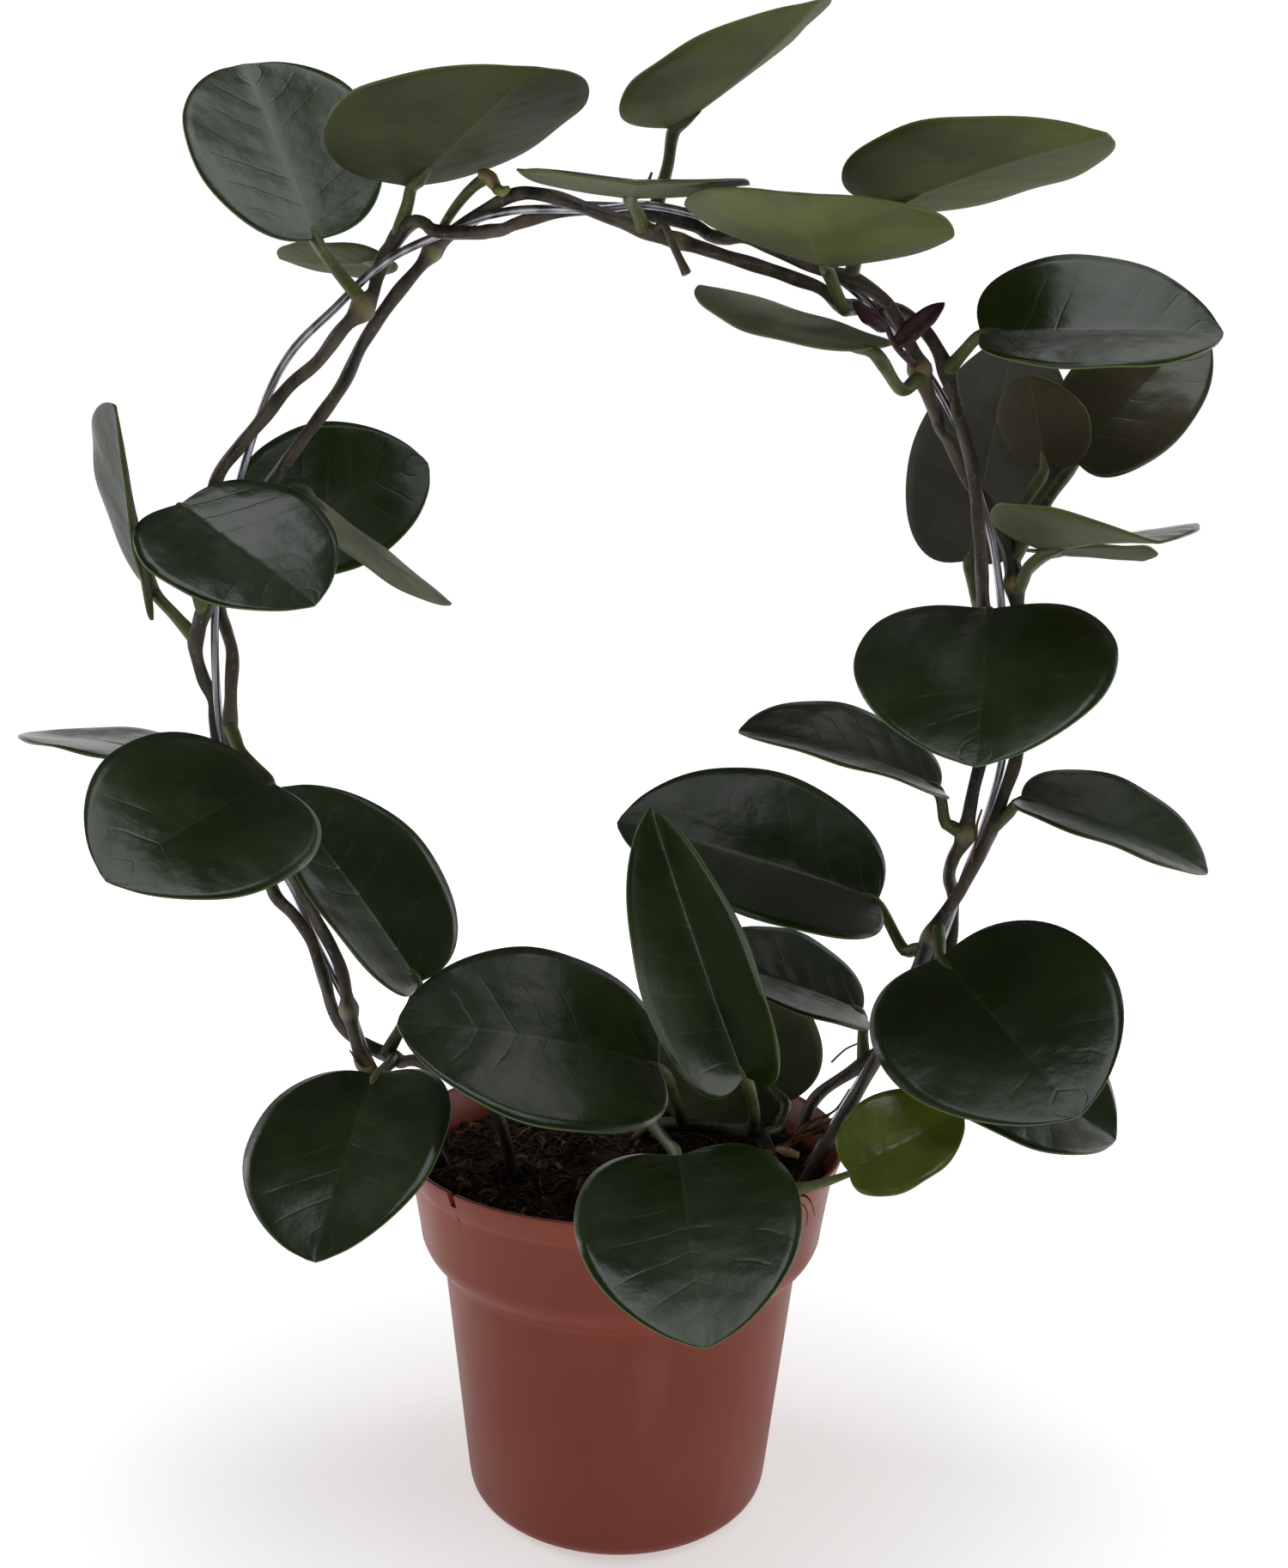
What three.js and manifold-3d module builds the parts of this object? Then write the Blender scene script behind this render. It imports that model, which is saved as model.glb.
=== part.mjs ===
// Potted hoya trained on a wire hoop, in a plastic grower's pot.
// Millimetres, +Z up. The origin is on the pot's axis, at the level it stands on.
// +Y points away from the viewer, and the hoop stands in the plane y = 0.

import * as THREE from 'three';
import { mergeVertices } from 'three/addons/utils/BufferGeometryUtils.js';
import Module from 'manifold-3d';

const wasm = await Module();
wasm.setup();

// Driving dimensions.

const POT = {
  height: 100,
  lipRadius: 60,
  lipDrop: 7.3,
  bandTopRadius: 57.2,
  bandBottomRadius: 54.7,
  bandDrop: 22.6,
  bodyTopRadius: 48.2,
  bodyTop: 66,
  bodyFootRadius: 41.3,
  footRise: 5.5,
  baseRadius: 36.5,
  wall: 1.4,
  floor: 2,
  segments: 32,
};
const DRAIN = { count: 6, radius: 3.6, ring: 24 };
const LIP_SLOT = { angle: -134, width: 2.4, depth: 4 };

const SOIL = { level: 90, roughness: 1.1, rings: 4, segments: 26 };
const HOOP = { wire: 1.1, sides: 8 };
const VINE = { radius: 1.8, swelling: 1.3, swellingLength: 5, sides: 6 };
const LEAF = { thickness: 1.2, petiole: 1.7, petioleEnd: 1.1, along: 8, across: 4 };
const GAP = 0.3;

// Routes. Each is a list of points chosen by hand along the centre line.

const HOOP_ROUTE = [
  [-40, 0, 50], [-43, 0, 66], [-46, 0, 80], [-50, 0, 91], [-56, 0, 101], [-68, 0, 117],
  [-74, 0, 133], [-82, 0, 149], [-89, 0, 166], [-98, 0, 182], [-105, 0, 198], [-108, 0, 215],
  [-108, 0, 242], [-104, 0, 262], [-96, 0, 288], [-88, 0, 304], [-76, 0, 316], [-64, 0, 327],
  [-50, 0, 334], [-33, 0, 340], [-10, 0, 341], [4, 0, 342], [25, 0, 337], [46, 0, 328],
  [60, 0, 318], [72, 0, 305], [82, 0, 290], [88, 0, 274], [93, 0, 259], [96, 0, 242],
  [98, 0, 222], [98, 0, 204], [94, 0, 186], [90, 0, 174], [84, 0, 154], [77, 0, 139],
  [68, 0, 123], [55, 0, 99], [50, 0, 90], [46, 0, 80], [43, 0, 66], [40, 0, 50],
];

const VINES = {
  a: [
    [-41, -5, 70], [-45, -5, 84], [-51, -6, 98], [-60, -6, 109], [-69, -6, 120], [-73, -4, 131],
    [-76, -4, 146], [-82, -4, 159], [-90, -4, 175], [-98, -4, 190], [-104, -3, 204],
    [-104, -2, 218], [-104, 1, 228], [-106, 3, 234], [-108, 4, 240], [-107, 4, 250],
    [-105, 5, 258], [-96, 5, 270], [-87, 4, 282], [-76, 4, 296], [-70, 4, 308], [-63, 4, 318],
    [-56, 4, 326], [-49, 4, 334], [-40, 3, 340], [-31, 0, 344], [-22, -3, 343], [-6, -4, 338],
    [6, -4, 334], [20, -4, 330], [33, -2, 327], [40, 0, 325], [46, 1, 323], [52, 3, 319],
    [56, 4, 319], [65, 4, 319], [69, 2, 317], [73, 0, 313], [76, -2, 308], [78, -3, 303],
    [82, -4, 290], [86, -4, 278], [88, -4, 263], [90, -3, 248], [92, -3, 230], [93, -3, 212],
    [90, -4, 196], [88, -4, 184], [86, -2, 178], [86, 2, 172], [88, 4, 166], [88, 4, 156],
    [86, 2, 148], [82, 4, 140], [74, 6, 126], [64, 7, 117], [54, 9, 108], [50, 9, 99],
    [45, 10, 85], [40, 9, 70],
  ],
  b: [
    [-28, -8, 66], [-29, -8, 88], [-33, -9, 106], [-42, -9, 116], [-54, -9, 122], [-60, -4, 120],
    [-63, 0, 120], [-67, 4, 120], [-74, 4, 124], [-77, 2, 128], [-79, 0, 134], [-80, -3, 141],
    [-82, -4, 148], [-84, -4, 154], [-88, -4, 160], [-93, -3, 165], [-97, 2, 172], [-100, 4, 179],
    [-104, 4, 187], [-108, 4, 195], [-110, 4, 210], [-110, 3, 216], [-112, 1, 222],
    [-113, -1, 230], [-111, -3, 237], [-109, -4, 242], [-108, -4, 256], [-106, -4, 272],
    [-100, -4, 281], [-94, -4, 288], [-87, -4, 296], [-80, -4, 302], [-74, -4, 310],
    [-70, -4, 314], [-68, -2, 317], [-67, 2, 320], [-66, 4, 325], [-64, 4, 329], [-60, 3, 335],
    [-56, 0, 337], [-53, -3, 336], [-50, -4, 334], [-40, -4, 334], [-37, -2, 335], [-34, 1, 336],
    [-31, 4, 338], [-20, 4, 341], [-8, 4, 342], [4, 4, 341], [14, 3, 338], [18, 0, 335],
    [22, -3, 334], [28, -4, 334], [42, -4, 328], [54, -4, 324], [60, -4, 321], [64, -4, 317],
    [69, -4, 308], [72, -4, 300], [76, -1, 293], [78, 1, 289], [81, 3, 286], [86, 4, 277],
    [93, 3, 268], [98, 1, 256], [100, 0, 244], [102, 0, 234], [102, -1, 212], [101, -2, 204],
    [98, -4, 196], [93, -5, 181], [88, -4, 170], [82, -4, 160], [78, -5, 150], [73, -7, 137],
    [66, -7, 122], [60, -8, 110], [47, -10, 88], [40, -9, 70],
  ],
  c: [
    [36, 1, 70], [40, 2, 90], [38, 6, 97], [30, 11, 97], [20, 16, 96], [11, 18, 95], [4, 20, 90],
    [3, 20, 72],
  ],
};

// Leaves. base is where the stalk meets the blade, tip is the blade's point, and side points
// to its right-hand edge, seen on the upper face with the tip up. width is across the blade,
// fold is how far each half rises from the midrib and bend how far the midrib droops, in
// degrees. The stalk leaves vine `on` near the point node and passes through via.

const LEAVES = [
  { n: '01', base: [-81, 2, 333], tip: [-105, 28, 381], side: [0.9, 0.35, 0.25], width: 51,
    fold: 20, bend: 6, on: 'b', node: [-68, -3, 317], via: [-78, -1, 328] },
  { n: '02', base: [-57, 0, 346], tip: [-22, -61, 356], side: [-0.85, -0.5, -0.1], width: 60,
    fold: 10, bend: 4, on: 'b', node: [-60, 2, 333], via: [-58, 2, 342] },
  { n: '03', base: [8, 0, 361], tip: [38, -43, 376], side: [-0.7, -0.6, -0.35], width: 54,
    fold: 15, bend: -10, on: 'b', node: [4, 4, 341], via: [7, 1, 352] },
  { n: '04', base: [60, -5, 342], tip: [101, -50, 348], side: [-0.73, -0.68, 0.05], width: 57,
    fold: 6, bend: 9, on: 'b', node: [53, -4, 325], via: [55, -5, 334] },
  { n: '05', base: [46, -14, 326], tip: [33, -74, 329], side: [-0.97, 0.2, 0.1], width: 62,
    fold: 12, bend: -14, on: 'a', node: [54, 3, 319], via: [51, -8, 317] },
  { n: '06', base: [-2, -14, 341], tip: [0, -64, 333], side: [-1, -0.05, 0.02], width: 53,
    fold: 4, bend: 12, on: 'a', node: [1, -4, 336], via: [0, -9, 338] },
  { n: '07', base: [-66, 15, 331], tip: [-99, 41, 335], side: [0.57, 0.77, -0.3], width: 20,
    fold: 2, bend: -10, on: 'b', node: [-65, 4, 329], via: [-65, 10, 330] },
  { n: '08', base: [56, -28, 305], tip: [16, 2, 323], side: [0.62, 0.74, 0.2], width: 34,
    fold: 2, bend: -18, on: 'b', node: [72, -4, 301], via: [65, -15, 297] },
  { n: '09', base: [84, -14, 311], tip: [140, -20, 311], side: [-0.1, -0.7, -0.7], width: 46,
    fold: 17, bend: 4, on: 'a', node: [78, -3, 303], via: [81, -9, 307] },
  { n: '10', base: [114, 5, 282], tip: [145, 10, 317], side: [0.7, -0.4, -0.58], width: 34,
    fold: 10, bend: 4, on: 'b', node: [98, 1, 256], via: [107, 3, 272] },
  { n: '11', base: [105, -1, 280], tip: [97, -12, 301], side: [-0.75, 0.65, 0.1], width: 26,
    fold: 10, bend: 9, on: 'b', node: [95, 2, 263], via: [102, 0, 274] },
  { n: '12', base: [90, 17, 256], tip: [104, 36, 317], side: [0.83, -0.55, 0], width: 45,
    fold: 6, bend: 4, on: 'a', node: [91, -3, 238], via: [90, 7, 248] },
  { n: '13', base: [104, -10, 259], tip: [117, -54, 261], side: [-0.95, -0.27, 0.08], width: 50,
    fold: 16, bend: 12, on: 'b', node: [99, 0, 248], via: [101, -6, 255] },
  { n: '14', base: [109, 9, 259], tip: [140, 28, 257], side: [0.5, -0.86, 0.05], width: 33,
    fold: 4, bend: 4, on: 'b', node: [100, 0, 250], via: [104, 7, 254] },
  { n: '15', base: [-126, 3, 244], tip: [-124, -25, 288], side: [0.45, -0.74, -0.5], width: 52,
    fold: 10, bend: 4, on: 'b', node: [-113, -1, 232], via: [-119, 1, 238] },
  { n: '16', base: [-110, -21, 266], tip: [-75, -36, 243], side: [-0.55, -0.73, -0.4], width: 49,
    fold: 6, bend: 4, on: 'b', node: [-110, -3, 239], via: [-111, -13, 252] },
  { n: '17', base: [-107, 33, 259], tip: [-60, 46, 280], side: [0.45, -0.45, -0.77], width: 50,
    fold: 7, bend: 9, on: 'a', node: [-106, 5, 255], via: [-105, 20, 256] },
  { n: '18', base: [-86, 0, 270], tip: [-49, 12, 242], side: [-0.2, 0.95, 0.25], width: 35,
    fold: 3, bend: 10, on: 'a', node: [-100, 5, 264], via: [-94, 3, 268] },
  { n: '19', base: [-116, 2, 199], tip: [-165, 19, 204], side: [0.25, 0.97, 0], width: 44,
    fold: 4, bend: 8, on: 'b', node: [-108, 4, 195], via: [-112, 3, 197] },
  { n: '20', base: [-91, -15, 197], tip: [-117, -60, 181], side: [-0.8, 0.28, 0.53], width: 55,
    fold: 6, bend: 14, on: 'a', node: [-104, -3, 210], via: [-100, -9, 204] },
  { n: '21', base: [-55, -4, 142], tip: [-93, 1, 192], side: [0.42, 0.87, 0.25], width: 50,
    fold: 24, bend: 6, on: 'b', node: [-65, 2, 120], via: [-59, -1, 131] },
  { n: '22', base: [-64, -17, 121], tip: [-70, -65, 93], side: [-0.97, 0.18, -0.1], width: 52,
    fold: 6, bend: 19, on: 'b', node: [-62, -2, 120], via: [-62, -9, 121] },
  { n: '23', base: [9, -23, 127], tip: [-54, -40, 142], side: [-0.12, 0.87, 0.48], width: 61,
    fold: 5, bend: 15, on: 'c', node: [17, 17, 96], via: [14, -4, 111] },
  { n: '24', base: [14, -51, 114], tip: [19, -101, 93], side: [-0.99, -0.04, -0.12], width: 52,
    fold: 10, bend: 16, on: 'c', node: [9, 18, 94], via: [12, -18, 104] },
  { n: '25', base: [31, -25, 125], tip: [6, -31, 194], side: [0.9, -0.1, 0.35], width: 44,
    fold: 50, bend: 20, on: 'c', node: [36, 8, 97], via: [35, -10, 110] },
  { n: '26', base: [68, 7, 164], tip: [-2, 8, 184], side: [0.15, 0.88, 0.45], width: 66,
    fold: 13, bend: 10, on: 'b', node: [80, -5, 154], via: [75, 1, 152] },
  { n: '27', base: [66, 13, 131], tip: [20, 10, 146], side: [0.05, 0.97, 0.22], width: 48,
    fold: 12, bend: 14, on: 'a', node: [66, 7, 119], via: [66, 10, 124] },
  { n: '28', base: [46, 18, 102], tip: [10, 42, 134], side: [-0.78, -0.3, -0.52], width: 52,
    fold: 8, bend: 12, on: 'c', node: [38, 6, 97], via: [43, 11, 97] },
  { n: '29', base: [81, -17, 155], tip: [104, -66, 132], side: [-0.86, -0.2, -0.47], width: 61,
    fold: 6, bend: 6, on: 'b', node: [83, -4, 160], via: [82, -10, 157] },
  { n: '30', base: [86, 11, 122], tip: [132, -6, 103], side: [-0.45, -0.78, -0.4], width: 53,
    fold: 14, bend: 20, on: 'a', node: [74, 6, 126], via: [80, 9, 124] },
  { n: '31', base: [55, -49, 110], tip: [82, -47, 124], side: [0.35, -0.8, -0.5], width: 28,
    fold: 17, bend: 8, on: 'c', node: [40, 3, 93], via: [43, -48, 105] },
  { n: '32', base: [81, -5, 197], tip: [29, -5, 211], side: [0.06, 0.97, 0.22], width: 51,
    fold: 13, bend: 19, on: 'a', node: [88, -4, 185], via: [83, -5, 188] },
  { n: '33', base: [102, -6, 195], tip: [145, -23, 180], side: [-0.42, -0.88, -0.2], width: 46,
    fold: 12, bend: 20, on: 'b', node: [95, -4, 187], via: [99, -6, 191] },
  { n: '34', base: [89, -16, 244], tip: [77, -66, 212], side: [-0.96, 0.27, -0.04], width: 61,
    fold: 6, bend: 10, on: 'a', node: [91, -3, 241], via: [90, -9, 243] },
];

// Flower stalks and a young shoot, each on its own vine.

const SHOOTS = [
  { name: 'flower_stalk_left', on: 'a', node: [-51, 4, 332],
    path: [[-50, 7, 337], [-46, 4, 342], [-41, 0, 346], [-37, -2, 348]], radius: [1.1, 1.4] },
  { name: 'flower_stalk_top', on: 'a', node: [4, -4, 335],
    path: [[6, -9, 336], [9, -10, 330], [12, -11, 324]], radius: [1, 1.1] },
  { name: 'young_shoot', on: 'b', node: [71, -4, 304],
    path: [[67, -10, 305], [64, -10, 308], [62, -9, 312], [60, -9, 317]], radius: [1.3, 0.8],
    leaflets: [
      { base: [64, -10, 308], tip: [75, -12, 318], side: [0.6, -0.5, -0.6], width: 6, fold: 20, bend: 10 },
      { base: [62, -9, 312], tip: [53, -11, 318], side: [-0.2, -0.7, 0.7], width: 5, fold: 20, bend: 10 },
    ] },
];

// Shared helpers.

const vec = (p) => new THREE.Vector3(...p);
const radians = THREE.MathUtils.degToRad;
const spline = (points) => new THREE.CatmullRomCurve3(points.map(vec), false, 'catmullrom', 0.5);

function indexed(positions, faces) {
  const geometry = new THREE.BufferGeometry();
  geometry.setAttribute('position', new THREE.Float32BufferAttribute(positions, 3));
  geometry.setIndex(faces);
  return geometry;
}

function solid(geometry) {
  const bare = geometry.clone();
  bare.deleteAttribute('normal');
  bare.deleteAttribute('uv');
  const merged = mergeVertices(bare, 1e-5);
  const vertProperties = new Float32Array(merged.attributes.position.array);
  const triVerts = new Uint32Array(merged.index.array);
  return new wasm.Manifold(new wasm.Mesh({ numProp: 3, vertProperties, triVerts }));
}

function geometryOf(manifold) {
  const { vertProperties, triVerts } = manifold.getMesh();
  return indexed(Array.from(vertProperties), Array.from(triVerts));
}

// A closed round bar along a curve. radiusAt gives the radius at each share of the length,
// and overrun lengthens both ends.
function bar(curve, radiusAt, sides, steps, overrun = 0) {
  const frames = curve.computeFrenetFrames(steps, false);
  const positions = [];
  const faces = [];
  for (let i = 0; i <= steps; i += 1) {
    const t = i / steps;
    const centre = curve.getPoint(curve.getUtoTmapping(t));
    const radius = radiusAt(centre, t);
    if (i === 0) centre.addScaledVector(frames.tangents[0], -overrun);
    if (i === steps) centre.addScaledVector(frames.tangents[steps], overrun);
    for (let j = 0; j < sides; j += 1) {
      const angle = (2 * Math.PI * j) / sides;
      const point = centre.clone()
        .addScaledVector(frames.normals[i], radius * Math.cos(angle))
        .addScaledVector(frames.binormals[i], radius * Math.sin(angle));
      positions.push(point.x, point.y, point.z);
    }
  }
  for (let i = 0; i < steps; i += 1) {
    for (let j = 0; j < sides; j += 1) {
      const a = i * sides + j;
      const b = i * sides + ((j + 1) % sides);
      faces.push(a, b, b + sides, a, b + sides, a + sides);
    }
  }
  for (const [ring, flip] of [[0, true], [steps, false]]) {
    const first = ring * sides;
    for (let j = 1; j < sides - 1; j += 1) {
      const [p, q] = flip ? [first + j + 1, first + j] : [first + j, first + j + 1];
      faces.push(first, p, q);
    }
  }
  return indexed(positions, faces);
}

// Pot: a turned shell with a rolled lip over a wide band, drain holes and a slot in the lip.

function potProfile() {
  const lipFoot = POT.height - POT.lipDrop;
  const bandFoot = POT.height - POT.bandDrop;
  const outside = [
    [0, 0], [POT.baseRadius, 0], [POT.baseRadius + 2.8, 1], [POT.bodyFootRadius - 0.5, 2.9],
    [POT.bodyFootRadius, POT.footRise], [POT.bodyTopRadius, POT.bodyTop],
    [POT.bodyTopRadius + 0.6, POT.bodyTop + 1.3], [POT.bodyTopRadius + 2.6, POT.bodyTop + 2.8],
    [POT.bodyTopRadius + 5, POT.bodyTop + 5.8], [POT.bandBottomRadius - 0.3, bandFoot - 2.8],
    [POT.bandBottomRadius, bandFoot], [POT.bandTopRadius, lipFoot],
    [POT.bandTopRadius + 0.6, lipFoot + 0.5], [POT.lipRadius - 0.3, POT.height - 1.4],
    [POT.lipRadius, POT.height],
  ];
  const inside = [
    [POT.lipRadius - POT.wall, POT.height], [POT.bandTopRadius - POT.wall + 0.4, lipFoot],
    [POT.bandBottomRadius - POT.wall, bandFoot - 1],
    [POT.bodyTopRadius - POT.wall, POT.bodyTop + 2.2],
    [POT.bodyFootRadius - POT.wall, POT.footRise + 1], [POT.baseRadius, POT.floor],
    [0, POT.floor],
  ];
  return { outside, inside };
}

function makePot() {
  const { outside, inside } = potProfile();
  const profile = [...outside, ...inside].map(([r, z]) => new THREE.Vector2(r, z));
  const shell = new THREE.LatheGeometry(profile, POT.segments).rotateX(Math.PI / 2);
  let pot = solid(shell);
  for (let i = 0; i < DRAIN.count; i += 1) {
    const angle = (2 * Math.PI * (i + 0.5)) / DRAIN.count;
    const hole = new THREE.CylinderGeometry(DRAIN.radius, DRAIN.radius, 8, 10)
      .rotateX(Math.PI / 2)
      .translate(DRAIN.ring * Math.cos(angle), DRAIN.ring * Math.sin(angle), 1);
    pot = pot.subtract(solid(hole));
  }
  const slot = new THREE.BoxGeometry(12, LIP_SLOT.width, 2 * LIP_SLOT.depth)
    .translate(POT.lipRadius - 1, 0, POT.height)
    .rotateZ(radians(LIP_SLOT.angle));
  return geometryOf(pot.subtract(solid(slot)));
}

// Soil: fills the pot to a rough level and has a plain hole for every stem that stands in it.

function soilHeight(x, y) {
  const lumps = Math.sin(x * 0.23 + 1.1) * Math.cos(y * 0.19) + 0.6 * Math.sin(x * 0.41 - y * 0.37);
  return SOIL.level + SOIL.roughness * lumps;
}

function makeSoil(stems) {
  const { inside } = potProfile();
  const wall = inside.slice(1, -1).reverse();
  const clearance = GAP + 0.2;
  const rim = new THREE.Vector2(...wall[wall.length - 1]);
  const below = new THREE.Vector2(...wall[wall.length - 2]);
  const share = (SOIL.level - below.y) / (rim.y - below.y);
  const edge = below.clone().lerp(rim, share).x - clearance;
  const profile = [[0, POT.floor + GAP], [wall[0][0] - clearance, POT.floor + GAP]];
  for (const [r, z] of wall.slice(1, -1)) profile.push([r - clearance, z + 0.2]);
  for (let i = 0; i <= SOIL.rings; i += 1) profile.push([edge * (1 - i / SOIL.rings), SOIL.level]);
  const points = profile.map(([r, z]) => new THREE.Vector2(r, z));
  const body = new THREE.LatheGeometry(points, SOIL.segments).rotateX(Math.PI / 2);
  const position = body.attributes.position;
  for (let i = 0; i < position.count; i += 1) {
    const [x, y, z] = [position.getX(i), position.getY(i), position.getZ(i)];
    if (z > SOIL.level - 0.01 && Math.hypot(x, y) < edge - 1) position.setZ(i, soilHeight(x, y));
  }
  let soil = solid(body);
  for (const stem of stems) soil = soil.subtract(solid(stem));
  return geometryOf(soil);
}

// Hoop and vines.

const splineOf = Object.fromEntries(Object.entries(VINES).map(([k, v]) => [k, spline(v)]));
const hoopCurve = spline(HOOP_ROUTE);

function nearest(curve, target, samples = 600) {
  let best = null;
  for (let i = 0; i <= samples; i += 1) {
    const point = curve.getPoint(i / samples);
    const distance = point.distanceTo(target);
    if (!best || distance < best.distance) best = { point, distance, t: i / samples };
  }
  return best;
}

const nodesOf = Object.fromEntries(Object.keys(VINES).map((k) => [k, []]));
for (const part of [...LEAVES, ...SHOOTS]) {
  part.seat = nearest(splineOf[part.on], vec(part.node));
  nodesOf[part.on].push(part.seat.point);
}

function vineRadius(name, centre) {
  let swell = 0;
  for (const node of nodesOf[name]) {
    const reach = centre.distanceTo(node) / VINE.swellingLength;
    swell = Math.max(swell, Math.exp(-reach * reach));
  }
  return VINE.radius * (1 + (VINE.swelling - 1) * swell);
}

function makeVine(name, extra = 0) {
  const curve = splineOf[name];
  const steps = Math.round(curve.getLength() / 6);
  return bar(curve, (centre) => vineRadius(name, centre) + extra, VINE.sides, steps, extra);
}

function makeHoop(extra = 0) {
  const steps = Math.round(hoopCurve.getLength() / 14);
  return bar(hoopCurve, () => HOOP.wire + extra, HOOP.sides, steps, extra);
}

// Leaves: a heart-based oval blade with its two halves raised from the midrib.

function leafFrame(leaf) {
  const base = vec(leaf.base);
  const tip = vec(leaf.tip);
  const along = tip.clone().sub(base).normalize();
  const side = vec(leaf.side);
  side.addScaledVector(along, -side.dot(along)).normalize();
  const up = new THREE.Vector3().crossVectors(side, along);
  return { base, along, side, up, chord: tip.distanceTo(base) };
}

// u runs from the stalk (0) to the tip (1), v from the left edge (-1) to the right (1).
function bladePoint(leaf, u, v) {
  const { base, along, side, up, chord } = leafFrame(leaf);
  const lobe = 0.1;
  const point = 0.05;
  const wide = Math.max(0, Math.sin(Math.PI * u ** 0.9)) ** 0.44;
  const run = u + point * (u ** 20 - u) - lobe * (1 - u) ** 3 * wide * v * v;
  const sine = Math.sin(radians(leaf.fold));
  const across = v * wide * (leaf.width / 2);
  const rise = Math.hypot(across * sine, 2 * sine) - 2 * sine;
  const bend = radians(leaf.bend);
  const radius = chord / 2 / Math.sin(bend / 2);
  const turn = bend * (run - 0.5);
  return base.clone()
    .addScaledVector(along, (radius + rise) * Math.sin(turn) + radius * Math.sin(bend / 2))
    .addScaledVector(side, across * Math.cos(radians(leaf.fold)))
    .addScaledVector(up, (radius + rise) * Math.cos(turn) - radius * Math.cos(bend / 2));
}

function makeBlade(leaf) {
  const { up } = leafFrame(leaf);
  const rows = LEAF.along;
  const columns = LEAF.across;
  const positions = [];
  const faces = [];
  const index = { 1: [], '-1': [] };
  const half = LEAF.thickness / 2 / Math.cos(radians(leaf.fold));
  for (const face of [1, -1]) {
    for (let i = 0; i <= rows; i += 1) {
      const u = (1 - Math.cos((Math.PI * i) / rows)) / 2;
      const single = i === 0 || i === rows;
      const row = [];
      for (let j = 0; j <= columns; j += 1) {
        const v = (2 * j) / columns - 1;
        if (j === 0 || !single) {
          const p = bladePoint(leaf, u, v).addScaledVector(up, face * half);
          row.push(positions.length / 3);
          positions.push(p.x, p.y, p.z);
        } else {
          row.push(row[0]);
        }
      }
      index[face].push(row);
    }
  }
  const triangle = (a, b, c) => {
    if (a !== b && b !== c && a !== c) faces.push(a, b, c);
  };
  for (let i = 0; i < rows; i += 1) {
    for (let j = 0; j < columns; j += 1) {
      for (const face of [1, -1]) {
        const grid = index[face];
        const corners = [grid[i][j], grid[i][j + 1], grid[i + 1][j + 1], grid[i + 1][j]];
        if (face < 0) corners.reverse();
        const [a, b, c, d] = corners;
        triangle(a, b, c);
        triangle(a, c, d);
      }
    }
    for (const j of [0, columns]) {
      const [a, b] = [index[1][i][j], index[1][i + 1][j]];
      const [c, d] = [index[-1][i + 1][j], index[-1][i][j]];
      if (j === 0) {
        triangle(a, b, c);
        triangle(a, c, d);
      } else {
        triangle(a, c, b);
        triangle(a, d, c);
      }
    }
  }
  return indexed(positions, faces);
}

// The start of a stalk, on the centre line of the vine that carries it.
function rootOf(part, through) {
  const tangent = splineOf[part.on].getTangent(part.seat.t);
  const out = vec(through).sub(part.seat.point);
  out.addScaledVector(tangent, -out.dot(tangent)).normalize();
  return [part.seat.point, part.seat.point.clone().addScaledVector(out, 2 * VINE.radius)];
}

// The foot is cut to the vine's own round, one gap clear of it.
const seated = (part, body) => body.subtract(solid(makeVine(part.on, GAP + 0.03)));

function makeStalk(leaf) {
  const { up } = leafFrame(leaf);
  const points = [...rootOf(leaf, leaf.via), vec(leaf.via)];
  points.push(vec(leaf.base).addScaledVector(up, -0.9));
  points.push(bladePoint(leaf, 0.09, 0).addScaledVector(up, -0.9));
  const path = new THREE.CatmullRomCurve3(points, false, 'centripetal');
  const radiusAt = (centre, t) => THREE.MathUtils.lerp(LEAF.petiole, LEAF.petioleEnd, t);
  return bar(path, radiusAt, 5, Math.max(5, Math.round(path.getLength() / 4)));
}

function makeLeaf(leaf) {
  return geometryOf(seated(leaf, solid(makeBlade(leaf)).add(solid(makeStalk(leaf)))));
}

function makeShoot(shoot) {
  const points = [...rootOf(shoot, shoot.path[0]), ...shoot.path.map(vec)];
  const path = new THREE.CatmullRomCurve3(points, false, 'centripetal');
  const radiusAt = (centre, t) => THREE.MathUtils.lerp(...shoot.radius, t);
  let body = solid(bar(path, radiusAt, 6, Math.round(path.getLength() / 2.5)));
  for (const leaflet of shoot.leaflets || []) body = body.add(solid(makeBlade(leaflet)));
  return geometryOf(seated(shoot, body));
}

// Materials and the scene graph.

const finish = (color, roughness) => new THREE.MeshStandardMaterial({ color, roughness, metalness: 0 });

const group = new THREE.Group();
function place(name, geometry, material) {
  const mesh = new THREE.Mesh(geometry, material);
  mesh.name = name;
  group.add(mesh);
}

const standing = [makeHoop(GAP + 0.1)];
for (const name of Object.keys(VINES)) standing.push(makeVine(name, GAP + 0.1));

place('pot', makePot(), finish(0x7a3b2c, 0.6));
place('soil', makeSoil(standing), finish(0x241812, 1));
place('hoop', makeHoop(), finish(0x8a8c92, 0.35));
for (const name of Object.keys(VINES)) place(`vine_${name}`, makeVine(name), finish(0x3a3230, 0.7));
for (const leaf of LEAVES) place(`leaf_${leaf.n}`, makeLeaf(leaf), finish(0x1f3320, 0.4));
for (const shoot of SHOOTS) place(shoot.name, makeShoot(shoot), finish(0x4a3a2a, 0.6));

export default group;
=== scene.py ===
# %% [markdown]
# # A hoya trained on a wire hoop
# This lesson dresses a plain model of a potted climbing plant. The plain model gives every piece
# its place, in metres. Here each leaf, vine, wire and fibre gets its fine shape and its finish.
# Lengths below are in millimetres, because a plant is easier to read that way, and the mesh helper
# turns them into metres.

import math
from collections import namedtuple

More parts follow.
